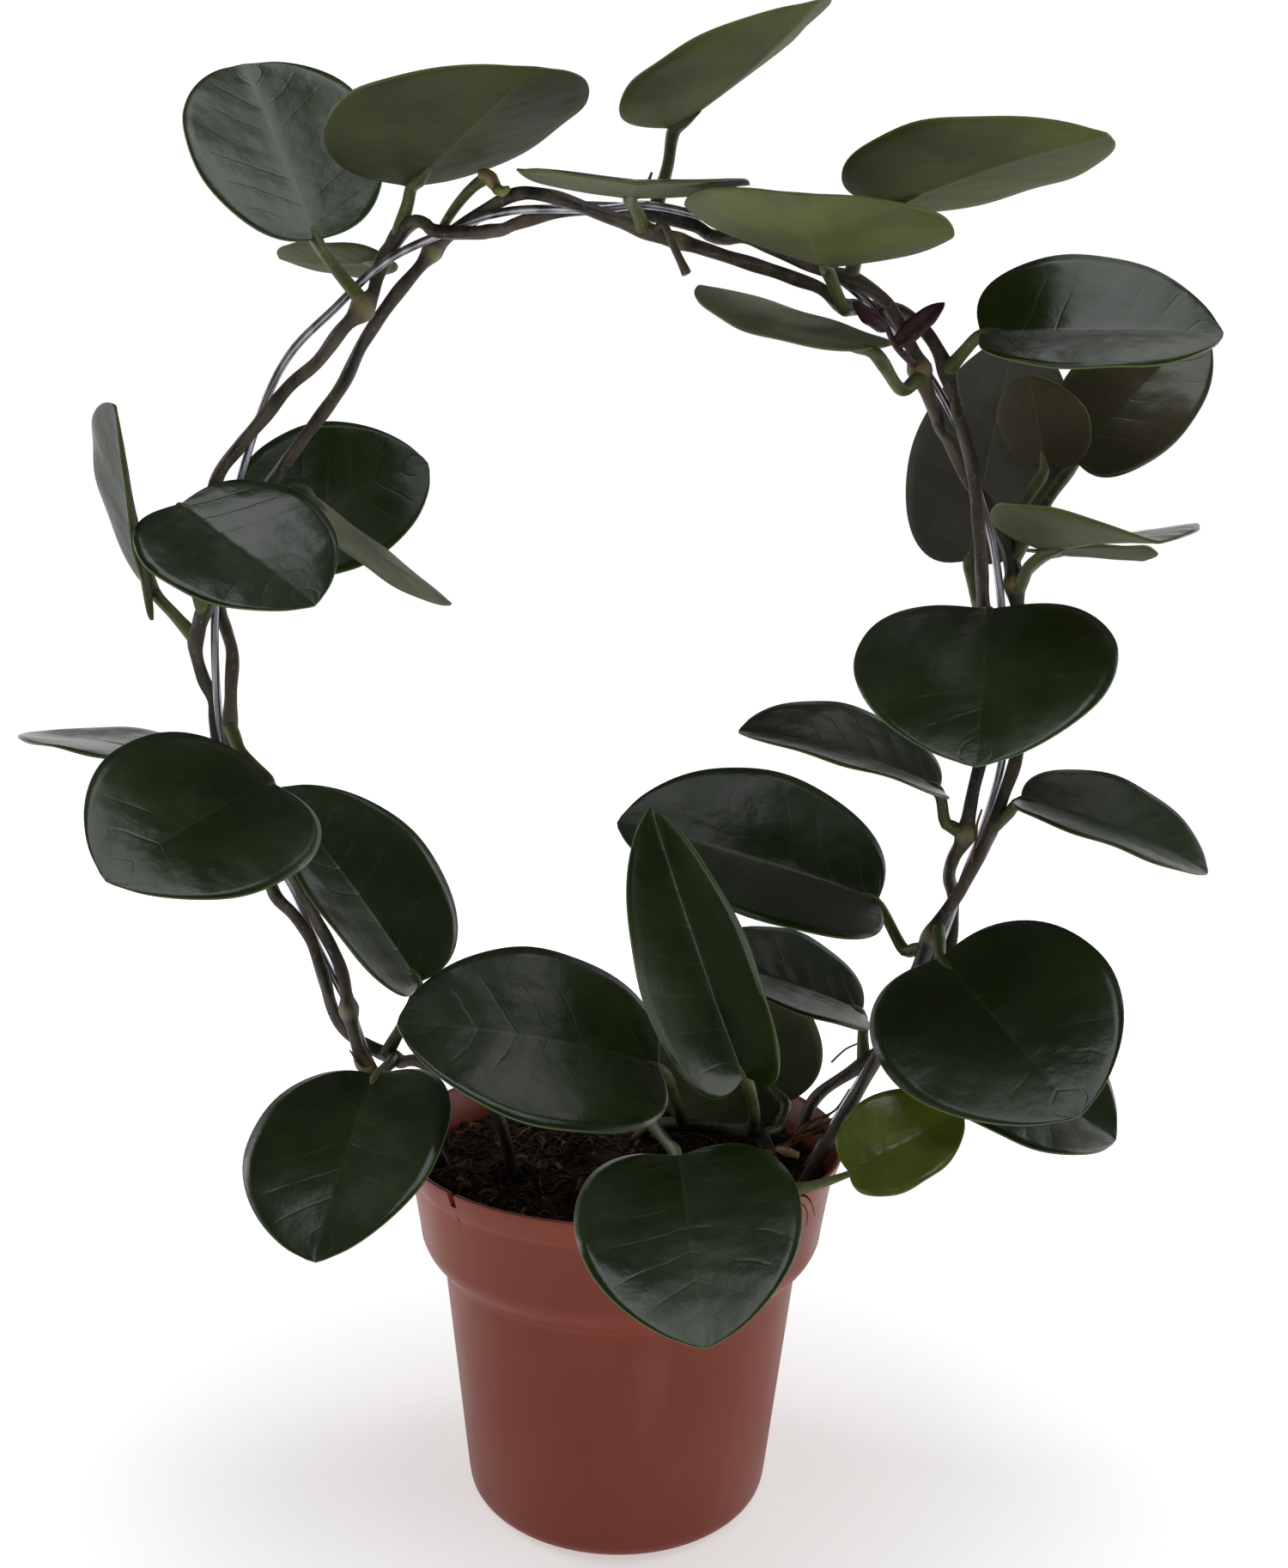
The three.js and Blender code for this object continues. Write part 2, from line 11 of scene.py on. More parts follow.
import bpy
import numpy as np
from mathutils import Matrix, Vector


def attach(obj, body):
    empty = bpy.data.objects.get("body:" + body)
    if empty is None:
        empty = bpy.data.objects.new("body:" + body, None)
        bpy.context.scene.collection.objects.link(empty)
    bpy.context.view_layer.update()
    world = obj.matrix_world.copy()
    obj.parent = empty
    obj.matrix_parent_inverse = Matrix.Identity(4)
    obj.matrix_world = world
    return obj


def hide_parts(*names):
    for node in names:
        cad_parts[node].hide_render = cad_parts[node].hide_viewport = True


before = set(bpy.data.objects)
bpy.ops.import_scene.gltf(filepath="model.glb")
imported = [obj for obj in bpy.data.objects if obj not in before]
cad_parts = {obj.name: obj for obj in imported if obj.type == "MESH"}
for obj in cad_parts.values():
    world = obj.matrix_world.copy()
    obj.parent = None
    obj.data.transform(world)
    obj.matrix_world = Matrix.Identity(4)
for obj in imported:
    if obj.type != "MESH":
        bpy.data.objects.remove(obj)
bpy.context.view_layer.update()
MM = 0.001
print("pieces in the plain model:", len(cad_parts))

# %% [markdown]
# ## The camera
# The photograph looks slightly down on the plant from about 40 cm in front of it. A wide view
# from that near is what makes the front leaves large and the pot taper so strongly. A camera can
# be aimed by a constraint that tracks a target, but its place and two angles are enough here: how
# far it looks down, and how far it is rolled.

# %% Place the camera
VIEW_POINT = (4, -403, 257)
VIEW_DOWN = 8.6
VIEW_ROLL = 1.1
FOCAL_PIXELS = 1800
IMAGE_HEIGHT = 1826
SENSOR = 36
NEAREST = 0.01

camera_data = bpy.data.cameras.new("camera")
camera_data.sensor_fit = "VERTICAL"
camera_data.sensor_height = SENSOR
camera_data.lens = SENSOR * FOCAL_PIXELS / IMAGE_HEIGHT
camera_data.clip_start = NEAREST
camera = bpy.data.objects.new("camera", camera_data)
tilt = Matrix.Rotation(math.radians(90 - VIEW_DOWN), 4, "X")
roll = Matrix.Rotation(math.radians(VIEW_ROLL), 4, "Z")
camera.matrix_world = Matrix.Translation(Vector(VIEW_POINT) * MM) @ tilt @ roll
bpy.context.collection.objects.link(camera)
bpy.context.scene.camera = camera
print("lens in mm:", round(camera_data.lens, 2))

# %% [markdown]
# ## Smooth curves
# Vines, stalks, fibres and the hoop all follow a curve through a few points. Curve objects can do
# this, but their handles are hard to set from a list. A cubic through every point needs only the
# slope at each one. The plain slope is half the step between its two neighbours. Where the steps
# are very uneven, as on a short stalk, that overshoots, and a slope weighted by the square root of
# each step, the centripetal one, keeps the curve calm.

# %% A smooth curve through chosen points
SHORTEST = 1e-4
SPAN_STEPS = 24


def slopes(p0, p1, p2, p3, centripetal):
    """The curve's slopes at p1 and p2, on the span between them."""
    if not centripetal:
        return (p2 - p0) / 2, (p3 - p1) / 2
    d0, d1, d2 = (max(np.linalg.norm(step) ** 0.5, SHORTEST) for step in (p1 - p0, p2 - p1, p3 - p2))
    first = ((p1 - p0) / d0 - (p2 - p0) / (d0 + d1) + (p2 - p1) / d1) * d1
    last = ((p2 - p1) / d1 - (p3 - p1) / (d1 + d2) + (p3 - p2) / d2) * d1
    return first, last


def curve_through(points, step, centripetal=False):
    """Even steps along a smooth curve through the points."""
    points = np.array(points, dtype=float)
    ring = np.vstack([2 * points[0] - points[1], points, 2 * points[-1] - points[-2]])
    t = np.linspace(0, 1, SPAN_STEPS, endpoint=False)[:, None]
    dense = []
    for i in range(len(points) - 1):
        m1, m2 = slopes(*ring[i : i + 4], centripetal)
        dense.append((2 * t**3 - 3 * t**2 + 1) * points[i] + (t**3 - 2 * t**2 + t) * m1
                     + (3 * t**2 - 2 * t**3) * points[i + 1] + (t**3 - t**2) * m2)
    dense = np.vstack(dense + [points[-1:]])
    length = np.concatenate([[0], np.cumsum(np.linalg.norm(np.diff(dense, axis=0), axis=1))])
    count = max(3, int(round(length[-1] / step)) + 1)
    even = np.linspace(0, length[-1], count)
    return np.stack([np.interp(even, length, dense[:, k]) for k in range(3)], axis=1)


def length_of(path):
    return np.linalg.norm(np.diff(path, axis=0), axis=1).sum()


print("a quarter bend of 10 mm radius, in mm:",
      round(length_of(curve_through([(10, 0, 0), (7, 7, 0), (0, 10, 0)], 0.5)), 1))

# %% [markdown]
# ## Where the hoop and the vines run
# The hoop is one bent wire that stands in the plane through the pot's middle, with both legs in
# the filling. Two long vines wind round it, now in front and now behind, and a third lies over the
# filling. A vine that grew has no formula, so each route is a list of points along its middle.

# %% Route of the hoop
HOOP_ROUTE = [
    (-40, 0, 50), (-43, 0, 66), (-46, 0, 80), (-50, 0, 91), (-56, 0, 101), (-68, 0, 117),
    (-74, 0, 133), (-82, 0, 149), (-89, 0, 166), (-98, 0, 182), (-105, 0, 198), (-108, 0, 215),
    (-108, 0, 242), (-104, 0, 262), (-96, 0, 288), (-88, 0, 304), (-76, 0, 316), (-64, 0, 327),
    (-50, 0, 334), (-33, 0, 340), (-10, 0, 341), (4, 0, 342), (25, 0, 337), (46, 0, 328),
    (60, 0, 318), (72, 0, 305), (82, 0, 290), (88, 0, 274), (93, 0, 259), (96, 0, 242),
    (98, 0, 222), (98, 0, 204), (94, 0, 186), (90, 0, 174), (84, 0, 154), (77, 0, 139),
    (68, 0, 123), (55, 0, 99), (50, 0, 90), (46, 0, 80), (43, 0, 66), (40, 0, 50),
]
print("hoop's length in mm:", round(length_of(curve_through(HOOP_ROUTE, 2))))

# %% Routes of the vines
VINES = {
    "a": [
        (-41, -5, 70), (-45, -5, 84), (-51, -6, 98), (-60, -6, 109), (-69, -6, 120),
        (-73, -4, 131), (-76, -4, 146), (-82, -4, 159), (-90, -4, 175), (-98, -4, 190),
        (-104, -3, 204), (-104, -2, 218), (-104, 1, 228), (-106, 3, 234), (-108, 4, 240),
        (-107, 4, 250), (-105, 5, 258), (-96, 5, 270), (-87, 4, 282), (-76, 4, 296),
        (-70, 4, 308), (-63, 4, 318), (-56, 4, 326), (-49, 4, 334), (-40, 3, 340), (-31, 0, 344),
        (-22, -3, 343), (-6, -4, 338), (6, -4, 334), (20, -4, 330), (33, -2, 327), (40, 0, 325),
        (46, 1, 323), (52, 3, 319), (56, 4, 319), (65, 4, 319), (69, 2, 317), (73, 0, 313),
        (76, -2, 308), (78, -3, 303), (82, -4, 290), (86, -4, 278), (88, -4, 263), (90, -3, 248),
        (92, -3, 230), (93, -3, 212), (90, -4, 196), (88, -4, 184), (86, -2, 178), (86, 2, 172),
        (88, 4, 166), (88, 4, 156), (86, 2, 148), (82, 4, 140), (74, 6, 126), (64, 7, 117),
        (54, 9, 108), (50, 9, 99), (45, 10, 85), (40, 9, 70),
    ],
    "b": [
        (-28, -8, 66), (-29, -8, 88), (-33, -9, 106), (-42, -9, 116), (-54, -9, 122),
        (-60, -4, 120), (-63, 0, 120), (-67, 4, 120), (-74, 4, 124), (-77, 2, 128), (-79, 0, 134),
        (-80, -3, 141), (-82, -4, 148), (-84, -4, 154), (-88, -4, 160), (-93, -3, 165),
        (-97, 2, 172), (-100, 4, 179), (-104, 4, 187), (-108, 4, 195), (-110, 4, 210),
        (-110, 3, 216), (-112, 1, 222), (-113, -1, 230), (-111, -3, 237), (-109, -4, 242),
        (-108, -4, 256), (-106, -4, 272), (-100, -4, 281), (-94, -4, 288), (-87, -4, 296),
        (-80, -4, 302), (-74, -4, 310), (-70, -4, 314), (-68, -2, 317), (-67, 2, 320),
        (-66, 4, 325), (-64, 4, 329), (-60, 3, 335), (-56, 0, 337), (-53, -3, 336),
        (-50, -4, 334), (-40, -4, 334), (-37, -2, 335), (-34, 1, 336), (-31, 4, 338),
        (-20, 4, 341), (-8, 4, 342), (4, 4, 341), (14, 3, 338), (18, 0, 335), (22, -3, 334),
        (28, -4, 334), (42, -4, 328), (54, -4, 324), (60, -4, 321), (64, -4, 317), (69, -4, 308),
        (72, -4, 300), (76, -1, 293), (78, 1, 289), (81, 3, 286), (86, 4, 277), (93, 3, 268),
        (98, 1, 256), (100, 0, 244), (102, 0, 234), (102, -1, 212), (101, -2, 204), (98, -4, 196),
        (93, -5, 181), (88, -4, 170), (82, -4, 160), (78, -5, 150), (73, -7, 137), (66, -7, 122),
        (60, -8, 110), (47, -10, 88), (40, -9, 70),
    ],
    "c": [
        (36, 1, 70), (40, 2, 90), (38, 6, 97), (30, 11, 97), (20, 16, 96), (11, 18, 95),
        (4, 20, 90), (3, 20, 72),
    ],
}
for name, route in VINES.items():
    print("length of vine", name, "in mm:", round(length_of(curve_through(route, 1.5))))

# %% [markdown]
# ## Where the leaves are
# One line of facts describes a blade: where the stalk meets it, where its tip is, which way its
# right-hand side points, its width, how many degrees each half rises from the midrib, and how many
# degrees the midrib droops. One more line describes the stalk: the vine that it grows from, the
# place of that node, and a point that the stalk passes through.

# %% The leaves, one line for the blade and one for the stalk
LEAF_FACTS = {
    "01": ((-81, 2, 333), (-105, 28, 381), (0.9, 0.35, 0.25), 51, 20, 6,
           "b", (-68, -3, 317), (-78, -1, 328)),
    "02": ((-57, 0, 346), (-22, -61, 356), (-0.85, -0.5, -0.1), 60, 10, 4,
           "b", (-60, 2, 333), (-58, 2, 342)),
    "03": ((8, 0, 361), (38, -43, 376), (-0.7, -0.6, -0.35), 54, 15, -10,
           "b", (4, 4, 341), (7, 1, 352)),
    "04": ((60, -5, 342), (101, -50, 348), (-0.73, -0.68, 0.05), 57, 6, 9,
           "b", (53, -4, 325), (55, -5, 334)),
    "05": ((46, -14, 326), (33, -74, 329), (-0.97, 0.2, 0.1), 62, 12, -14,
           "a", (54, 3, 319), (51, -8, 317)),
    "06": ((-2, -14, 341), (0, -64, 333), (-1, -0.05, 0.02), 53, 4, 12,
           "a", (1, -4, 336), (0, -9, 338)),
    "07": ((-66, 15, 331), (-99, 41, 335), (0.57, 0.77, -0.3), 20, 2, -10,
           "b", (-65, 4, 329), (-65, 10, 330)),
    "08": ((56, -28, 305), (16, 2, 323), (0.62, 0.74, 0.2), 34, 2, -18,
           "b", (72, -4, 301), (65, -15, 297)),
    "09": ((84, -14, 311), (140, -20, 311), (-0.1, -0.7, -0.7), 46, 17, 4,
           "a", (78, -3, 303), (81, -9, 307)),
    "10": ((114, 5, 282), (145, 10, 317), (0.7, -0.4, -0.58), 34, 10, 4,
           "b", (98, 1, 256), (107, 3, 272)),
    "11": ((105, -1, 280), (97, -12, 301), (-0.75, 0.65, 0.1), 26, 10, 9,
           "b", (95, 2, 263), (102, 0, 274)),
    "12": ((90, 17, 256), (104, 36, 317), (0.83, -0.55, 0), 45, 6, 4,
           "a", (91, -3, 238), (90, 7, 248)),
    "13": ((104, -10, 259), (117, -54, 261), (-0.95, -0.27, 0.08), 50, 16, 12,
           "b", (99, 0, 248), (101, -6, 255)),
    "14": ((109, 9, 259), (140, 28, 257), (0.5, -0.86, 0.05), 33, 4, 4,
           "b", (100, 0, 250), (104, 7, 254)),
    "15": ((-126, 3, 244), (-124, -25, 288), (0.45, -0.74, -0.5), 52, 10, 4,
           "b", (-113, -1, 232), (-119, 1, 238)),
    "16": ((-110, -21, 266), (-75, -36, 243), (-0.55, -0.73, -0.4), 49, 6, 4,
           "b", (-110, -3, 239), (-111, -13, 252)),
    "17": ((-107, 33, 259), (-60, 46, 280), (0.45, -0.45, -0.77), 50, 7, 9,
           "a", (-106, 5, 255), (-105, 20, 256)),
    "18": ((-86, 0, 270), (-49, 12, 242), (-0.2, 0.95, 0.25), 35, 3, 10,
           "a", (-100, 5, 264), (-94, 3, 268)),
    "19": ((-116, 2, 199), (-165, 19, 204), (0.25, 0.97, 0), 44, 4, 8,
           "b", (-108, 4, 195), (-112, 3, 197)),
    "20": ((-91, -15, 197), (-117, -60, 181), (-0.8, 0.28, 0.53), 55, 6, 14,
           "a", (-104, -3, 210), (-100, -9, 204)),
    "21": ((-55, -4, 142), (-93, 1, 192), (0.42, 0.87, 0.25), 50, 24, 6,
           "b", (-65, 2, 120), (-59, -1, 131)),
    "22": ((-64, -17, 121), (-70, -65, 93), (-0.97, 0.18, -0.1), 52, 6, 19,
           "b", (-62, -2, 120), (-62, -9, 121)),
    "23": ((9, -23, 127), (-54, -40, 142), (-0.12, 0.87, 0.48), 61, 5, 15,
           "c", (17, 17, 96), (14, -4, 111)),
    "24": ((14, -51, 114), (19, -101, 93), (-0.99, -0.04, -0.12), 52, 10, 16,
           "c", (9, 18, 94), (12, -18, 104)),
    "25": ((31, -25, 125), (6, -31, 194), (0.9, -0.1, 0.35), 44, 50, 20,
           "c", (36, 8, 97), (35, -10, 110)),
    "26": ((68, 7, 164), (-2, 8, 184), (0.15, 0.88, 0.45), 66, 13, 10,
           "b", (80, -5, 154), (75, 1, 152)),
    "27": ((66, 13, 131), (20, 10, 146), (0.05, 0.97, 0.22), 48, 12, 14,
           "a", (66, 7, 119), (66, 10, 124)),
    "28": ((46, 18, 102), (10, 42, 134), (-0.78, -0.3, -0.52), 52, 8, 12,
           "c", (38, 6, 97), (43, 11, 97)),
    "29": ((81, -17, 155), (104, -66, 132), (-0.86, -0.2, -0.47), 61, 6, 6,
           "b", (83, -4, 160), (82, -10, 157)),
    "30": ((86, 11, 122), (132, -6, 103), (-0.45, -0.78, -0.4), 53, 14, 20,
           "a", (74, 6, 126), (80, 9, 124)),
    "31": ((55, -49, 110), (82, -47, 124), (0.35, -0.8, -0.5), 28, 17, 8,
           "c", (40, 3, 93), (43, -48, 105)),
    "32": ((81, -5, 197), (29, -5, 211), (0.06, 0.97, 0.22), 51, 13, 19,
           "a", (88, -4, 185), (83, -5, 188)),
    "33": ((102, -6, 195), (145, -23, 180), (-0.42, -0.88, -0.2), 46, 12, 20,
           "b", (95, -4, 187), (99, -6, 191)),
    "34": ((89, -16, 244), (77, -66, 212), (-0.96, 0.27, -0.04), 61, 6, 10,
           "a", (91, -3, 241), (90, -9, 243)),
}
Leaf = namedtuple("Leaf", "base tip side width fold bend vine node via", defaults=(None,) * 3)
LEAVES = {number: Leaf(*facts) for number, facts in LEAF_FACTS.items()}
widths = [leaf.width for leaf in LEAVES.values()]
print("leaves:", len(LEAVES), "from", min(widths), "to", max(widths), "mm wide")

# %% [markdown]
# ## Helpers for meshes
# Most of the plant is either a thin bar that follows a curve or a sheet over a grid. Curve objects
# with a bevel could make the bars. Arrays of points are as quick, and they keep full control over
# where every point goes, which the swollen nodes and the ribbed bark need.

# %% Build an object from arrays
def add_piece(name, points, faces, materials, face_material=None, uv=None, tint=None):
    """One mesh object from points in millimetres, riding on the fixed body."""
    mesh = bpy.data.meshes.new(name)
    mesh.from_pydata((np.asarray(points) * MM).tolist(), [], [tuple(f) for f in faces])
    for item in materials:
        mesh.materials.append(item)
    if face_material is not None:
        mesh.polygons.foreach_set("material_index", np.asarray(face_material, dtype=np.int32))
    mesh.polygons.foreach_set("use_smooth", np.ones(len(mesh.polygons), dtype=bool))
    if uv is not None:
        corner = np.empty(len(mesh.loops), dtype=np.int32)
        mesh.loops.foreach_get("vertex_index", corner)
        layer = mesh.uv_layers.new(name="UVMap")
        layer.data.foreach_set("uv", np.asarray(uv)[corner].ravel())
    if tint is not None:
        layer = mesh.color_attributes.new(name="tint", type="FLOAT_COLOR", domain="POINT")
        rgba = np.ones((len(points), 4))
        rgba[:, :3] = tint
        layer.data.foreach_set("color", rgba.ravel())
    mesh.update()
    piece = bpy.data.objects.new(name, mesh)
    bpy.context.collection.objects.link(piece)
    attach(piece, "root")
    return piece


# %% Round bars along a curve
RIDGES = 3
RIDGE_TURN = 0.25
FIRST_ACROSS = (0.3, 0.9, 0.2)


def bar(path, radius, sides=12, ridge=0.0):
    """Points and faces of a closed bar. radius is one number, or one for each point of the path.
    ridge is the height of the ridges that wind round it, as a share of the radius."""
    path = np.asarray(path, dtype=float)
    radius = np.broadcast_to(np.asarray(radius, dtype=float), (len(path),))
    along = np.gradient(path, axis=0)
    along /= np.linalg.norm(along, axis=1)[:, None]
    first = np.cross(along[0], FIRST_ACROSS)
    normal = first / np.linalg.norm(first)
    angle = np.arange(sides) * 2 * math.pi / sides
    points = []
    for i, (centre, axis, size) in enumerate(zip(path, along, radius)):
        normal = normal - axis * (normal @ axis)
        normal /= np.linalg.norm(normal)
        other = np.cross(axis, normal)
        reach = (size * (1 + ridge * np.cos(RIDGES * angle + RIDGE_TURN * i)))[:, None]
        outward = np.cos(angle)[:, None] * normal + np.sin(angle)[:, None] * other
        points.append(centre + reach * outward)
    faces = []
    for i in range(len(path) - 1):
        for j in range(sides):
            k = (j + 1) % sides
            faces.append((i * sides + j, i * sides + k, (i + 1) * sides + k, (i + 1) * sides + j))
    faces.append(tuple(range(sides))[::-1])
    faces.append(tuple(range((len(path) - 1) * sides, len(path) * sides)))
    return np.vstack(points), faces


def join(parts):
    """Several (points, faces) as one."""
    points, faces, start = [], [], 0
    for some, which in parts:
        points.append(some)
        faces += [tuple(start + i for i in face) for face in which]
        start += len(some)
    return np.vstack(points), faces


print("points of a bar with 12 sides and 3 rings:", len(bar([(0, 0, 0), (1, 0, 0), (2, 0, 0)], 1)[0]))

# %% [markdown]
# ## Finishes
# Every finish here is made from nodes. Waxy leaves, bark, moulded plastic and coir all need the
# same few moves: a colour that drifts, a roughness that drifts with it, and a fine bump. Wiring
# each node by hand takes many lines, so a small class gives these moves short names.

# %% A small kit for node finishes
class Nodes:
    """Short ways to add nodes to a tree."""

    def __init__(self, tree):
        self.tree = tree

    def node(self, kind, inputs=None, **settings):
        """A new node. inputs holds numbers or other nodes' outputs, by socket name or index."""
        made = self.tree.nodes.new("ShaderNode" + kind)
        for key, value in settings.items():
            setattr(made, key, value)
        for key, value in (inputs or {}).items():
            self.feed(made.inputs[key], value)
        return made

    def feed(self, socket, value):
        """Links an output to a socket, or sets the socket to a plain value."""
        if isinstance(value, bpy.types.NodeSocket):
            self.tree.links.new(value, socket)
        else:
            socket.default_value = value

    def math(self, operation, a, b=0.0):
        return self.node("Math", {0: a, 1: b}, operation=operation).outputs[0]

    def times(self, a, b):
        return self.math("MULTIPLY", a, b)

    def plus(self, first, *others):
        for other in others:
            first = self.math("ADD", first, other)
        return first

    def ramp(self, value, low, high, start=0.0, end=1.0):
        """A soft step from start to end, while the value goes from low to high."""
        made = self.node("MapRange", {0: value, 1: low, 2: high, 3: start, 4: end},
                         interpolation_type="SMOOTHSTEP")
        return made.outputs[0]

    def noise(self, scale, detail, stretch=(1, 1, 1)):
        """Noise in the object's own space, so it stays on the piece. scale is in lumps a metre."""
        where = self.node("TexCoord").outputs["Object"]
        if stretch != (1, 1, 1):
            where = self.node("Mapping", {"Vector": where, "Scale": stretch}).outputs[0]
        made = self.node("TexNoise", {"Vector": where, "Scale": scale, "Detail": detail})
        return made.outputs["Fac"]

    def mix(self, share, a, b, blend="MIX"):
        made = self.node("Mix", {0: share, 6: a, 7: b}, data_type="RGBA", blend_type=blend)
        return made.outputs[2]


class Finish(Nodes):
    """A material. Keywords set sockets of its shader, with _ for each space in their names."""

    def __init__(self, name, **sockets):
        self.material = bpy.data.materials.new(name)
        self.material.use_nodes = True
        super().__init__(self.material.node_tree)
        self.shader = self.tree.nodes["Principled BSDF"]
        for socket, value in sockets.items():
            self.shader.inputs[socket.replace("_", " ")].default_value = value

    def bump(self, height, strength, distance):
        made = self.node("Bump", {"Height": height, "Strength": strength, "Distance": distance})
        self.feed(self.shader.inputs["Normal"], made.outputs[0])

    def done(self, color, roughness):
        self.feed(self.shader.inputs["Base Color"], color)
        self.feed(self.shader.inputs["Roughness"], roughness)
        return self.material


print("short names in the kit:", ", ".join(name for name in vars(Nodes) if name[0] != "_"))

# %% [markdown]
# ## Waxy leaf faces
# The upper face of a hoya leaf is a dark, smooth wax, with a few soft creases over the side veins
# and a thin pale line over the midrib. The under face is paler and almost matt. A painted image
# could show all this, but the leaf's own grid already knows how far along and how far out each
# point lies, so nodes can draw veins from it at any size. Real creases are broken and uneven, and
# a mask of noise breaks these. Every leaf brings its own green, which the mesh holds as "tint"; on
# leaves 12 and 14 it also holds painted shade, and on leaf 18 painted sheen.

# %% Side veins
VEIN_PAIRS = 7
VEIN_SLANT = 1.3
VEIN_SHARE = 0.1
MIDRIB_SHARE = 0.25
MARGIN_SHARE = 0.6


def side_veins(f, along, out):
    """How far a point is from a side vein, 0 to 0.5, and how strong the crease is on it. along is
    0 at the stalk and 1 at the tip, out is 0 on the midrib and 1 at the margin."""
    wander = f.times(f.noise(70, 2), 0.5)
    slant = f.math("SUBTRACT", f.times(along, VEIN_PAIRS), f.times(out, VEIN_SLANT))
    phase = f.plus(slant, wander)
    away = f.math("ABSOLUTE", f.math("SUBTRACT", f.math("FRACT", phase), 0.5))
    crease = f.times(f.ramp(away, 0.0, 0.08, 1.0, 0.0), f.ramp(out, 0.6, 0.9, 1.0, 0.0))
    broken = f.ramp(f.noise(50, 2), 0.35, 0.6)
    return away, f.times(crease, broken)


print("side veins on each half of a leaf:", VEIN_PAIRS)

# %% One leaf face
def leaf_finish(name, vein_color, margin_color, rough, gloss):
    """A leaf face: drifting green, faint side veins, a pale midrib and a pale margin."""
    f = Finish(name, Specular_IOR_Level=gloss)
    uv = f.node("SeparateXYZ", {0: f.node("UVMap").outputs[0]})
    along, across = uv.outputs[0], uv.outputs[1]
    out = f.times(f.math("ABSOLUTE", f.math("SUBTRACT", across, 0.5)), 2.0)
    drift = f.noise(45, 4)
    shade = f.ramp(drift, 0.3, 0.7, 0.75, 1.25)
    grey = f.node("CombineColor", {0: shade, 1: shade, 2: shade}).outputs[0]
    tint = f.node("Attribute", attribute_name="tint").outputs["Color"]
    color = f.mix(1.0, tint, grey, "MULTIPLY")
    away, crease = side_veins(f, along, out)
    color = f.mix(f.times(crease, VEIN_SHARE), color, vein_color)
    midrib = f.ramp(out, 0.004, 0.026, 1.0, 0.0)
    color = f.mix(f.times(midrib, MIDRIB_SHARE), color, vein_color)
    margin = f.ramp(out, 0.985, 0.998)
    color = f.mix(f.times(margin, MARGIN_SHARE), color, margin_color)
    grain = f.times(f.noise(900, 4), 0.12)
    lumps = f.times(f.noise(75, 2), 1.7)
    ripples = f.times(f.noise(260, 3), 0.3)
    quilting = f.times(f.ramp(away, 0.0, 0.5), 0.15)
    sunk_crease = f.times(crease, -0.13)
    f.bump(f.plus(grain, lumps, ripples, quilting, sunk_crease), 0.4, 0.0008)
    return f.done(color, f.ramp(drift, 0.25, 0.75, rough - 0.06, rough + 0.08))


# %% [markdown]
# ## Less gloss on some leaves
# A leaf glares where it mirrors the lamp. Some leaves glare less in the photograph than their
# tilt gives here. Gloss that is even over a leaf belongs on the shader's own specular socket,
# because an exported model loses a linked one. So each share of gloss has its own pair of
# finishes, one for the upper and one for the under face.

# %% Pairs of finishes, by share of gloss
# Share of the usual gloss, by leaf.
LEAF_SHEEN = {"14": 0.4, "15": 0.1, "17": 0.4, "19": 0.5, "26": 0.6, "27": 0.35, "32": 0.45,
              "33": 0.45}
TOP_VEIN = (0.05, 0.08, 0.03, 1)
TOP_MARGIN = (0.08, 0.13, 0.03, 1)
UNDER_VEIN = (0.11, 0.14, 0.05, 1)
UNDER_MARGIN = (0.1, 0.14, 0.04, 1)


def leaf_pair(sheen):
    """The upper and the under finish of a leaf. sheen is its share of the usual gloss."""
    mark = "" if sheen == 1 else "_%02d" % round(100 * sheen)
    return (leaf_finish("leaf_top" + mark, TOP_VEIN, TOP_MARGIN, 0.27, 0.55 * sheen),
            leaf_finish("leaf_under" + mark, UNDER_VEIN, UNDER_MARGIN, 0.6, 0.1 * sheen))


LEAF_FINISH = {sheen: leaf_pair(sheen) for sheen in sorted({1, *LEAF_SHEEN.values()})}
print("pairs of leaf finishes:", len(LEAF_FINISH))

# %% [markdown]
# ## Stalks, bark and wire
# A stalk has a green skin, and a vine a thin brown bark. Both are streaked and have small pale
# specks. The streaks run upright, which is along most of each stem, and one function with two
# colours makes them all. Where a leaf or a flower has dropped off, the bark keeps a tan scar: the
# mesh of a vine holds a number called "scar" for that, and a mesh without it reads as 0.

# %% Skin of stalks and vines
SCAR_COLOR = (0.17, 0.14, 0.07, 1)


def paler(color):
    return tuple(min(1, 2.2 * c + 0.02) for c in color[:3]) + (1,)


def stem_finish(name, dark, light, rough, scale):
    """Streaked bark or green skin, with tan patches where the mesh's scar value is high."""
    f = Finish(name, Specular_IOR_Level=0.3)
    streak = f.noise(scale, 5, (1, 1, 0.3))
    speck = f.noise(scale * 5, 3)
    color = f.mix(f.ramp(streak, 0.35, 0.65), dark, light)
    color = f.mix(f.times(f.ramp(speck, 0.62, 0.7), 0.5), color, paler(light))
    scar = f.node("Attribute", attribute_name="scar").outputs["Fac"]
    patchy = f.times(scar, f.ramp(f.noise(330, 3), 0.35, 0.5, 0.45, 1.0))
    color = f.mix(patchy, color, SCAR_COLOR)
    f.bump(f.plus(streak, speck), 0.5, 0.0004)
    return f.done(color, f.ramp(streak, 0.2, 0.8, rough - 0.1, rough + 0.1))


STALK = stem_finish("stalk_green", (0.038, 0.046, 0.012, 1), (0.08, 0.096, 0.026, 1), 0.5, 140)
BARK = stem_finish("vine_bark", (0.014, 0.01, 0.008, 1), (0.07, 0.054, 0.034, 1), 0.5, 160)
SHOOT = stem_finish("shoot_purple", (0.03, 0.012, 0.016, 1), (0.07, 0.03, 0.034, 1), 0.5, 200)
print("stem finishes:", STALK.name, BARK.name, SHOOT.name)


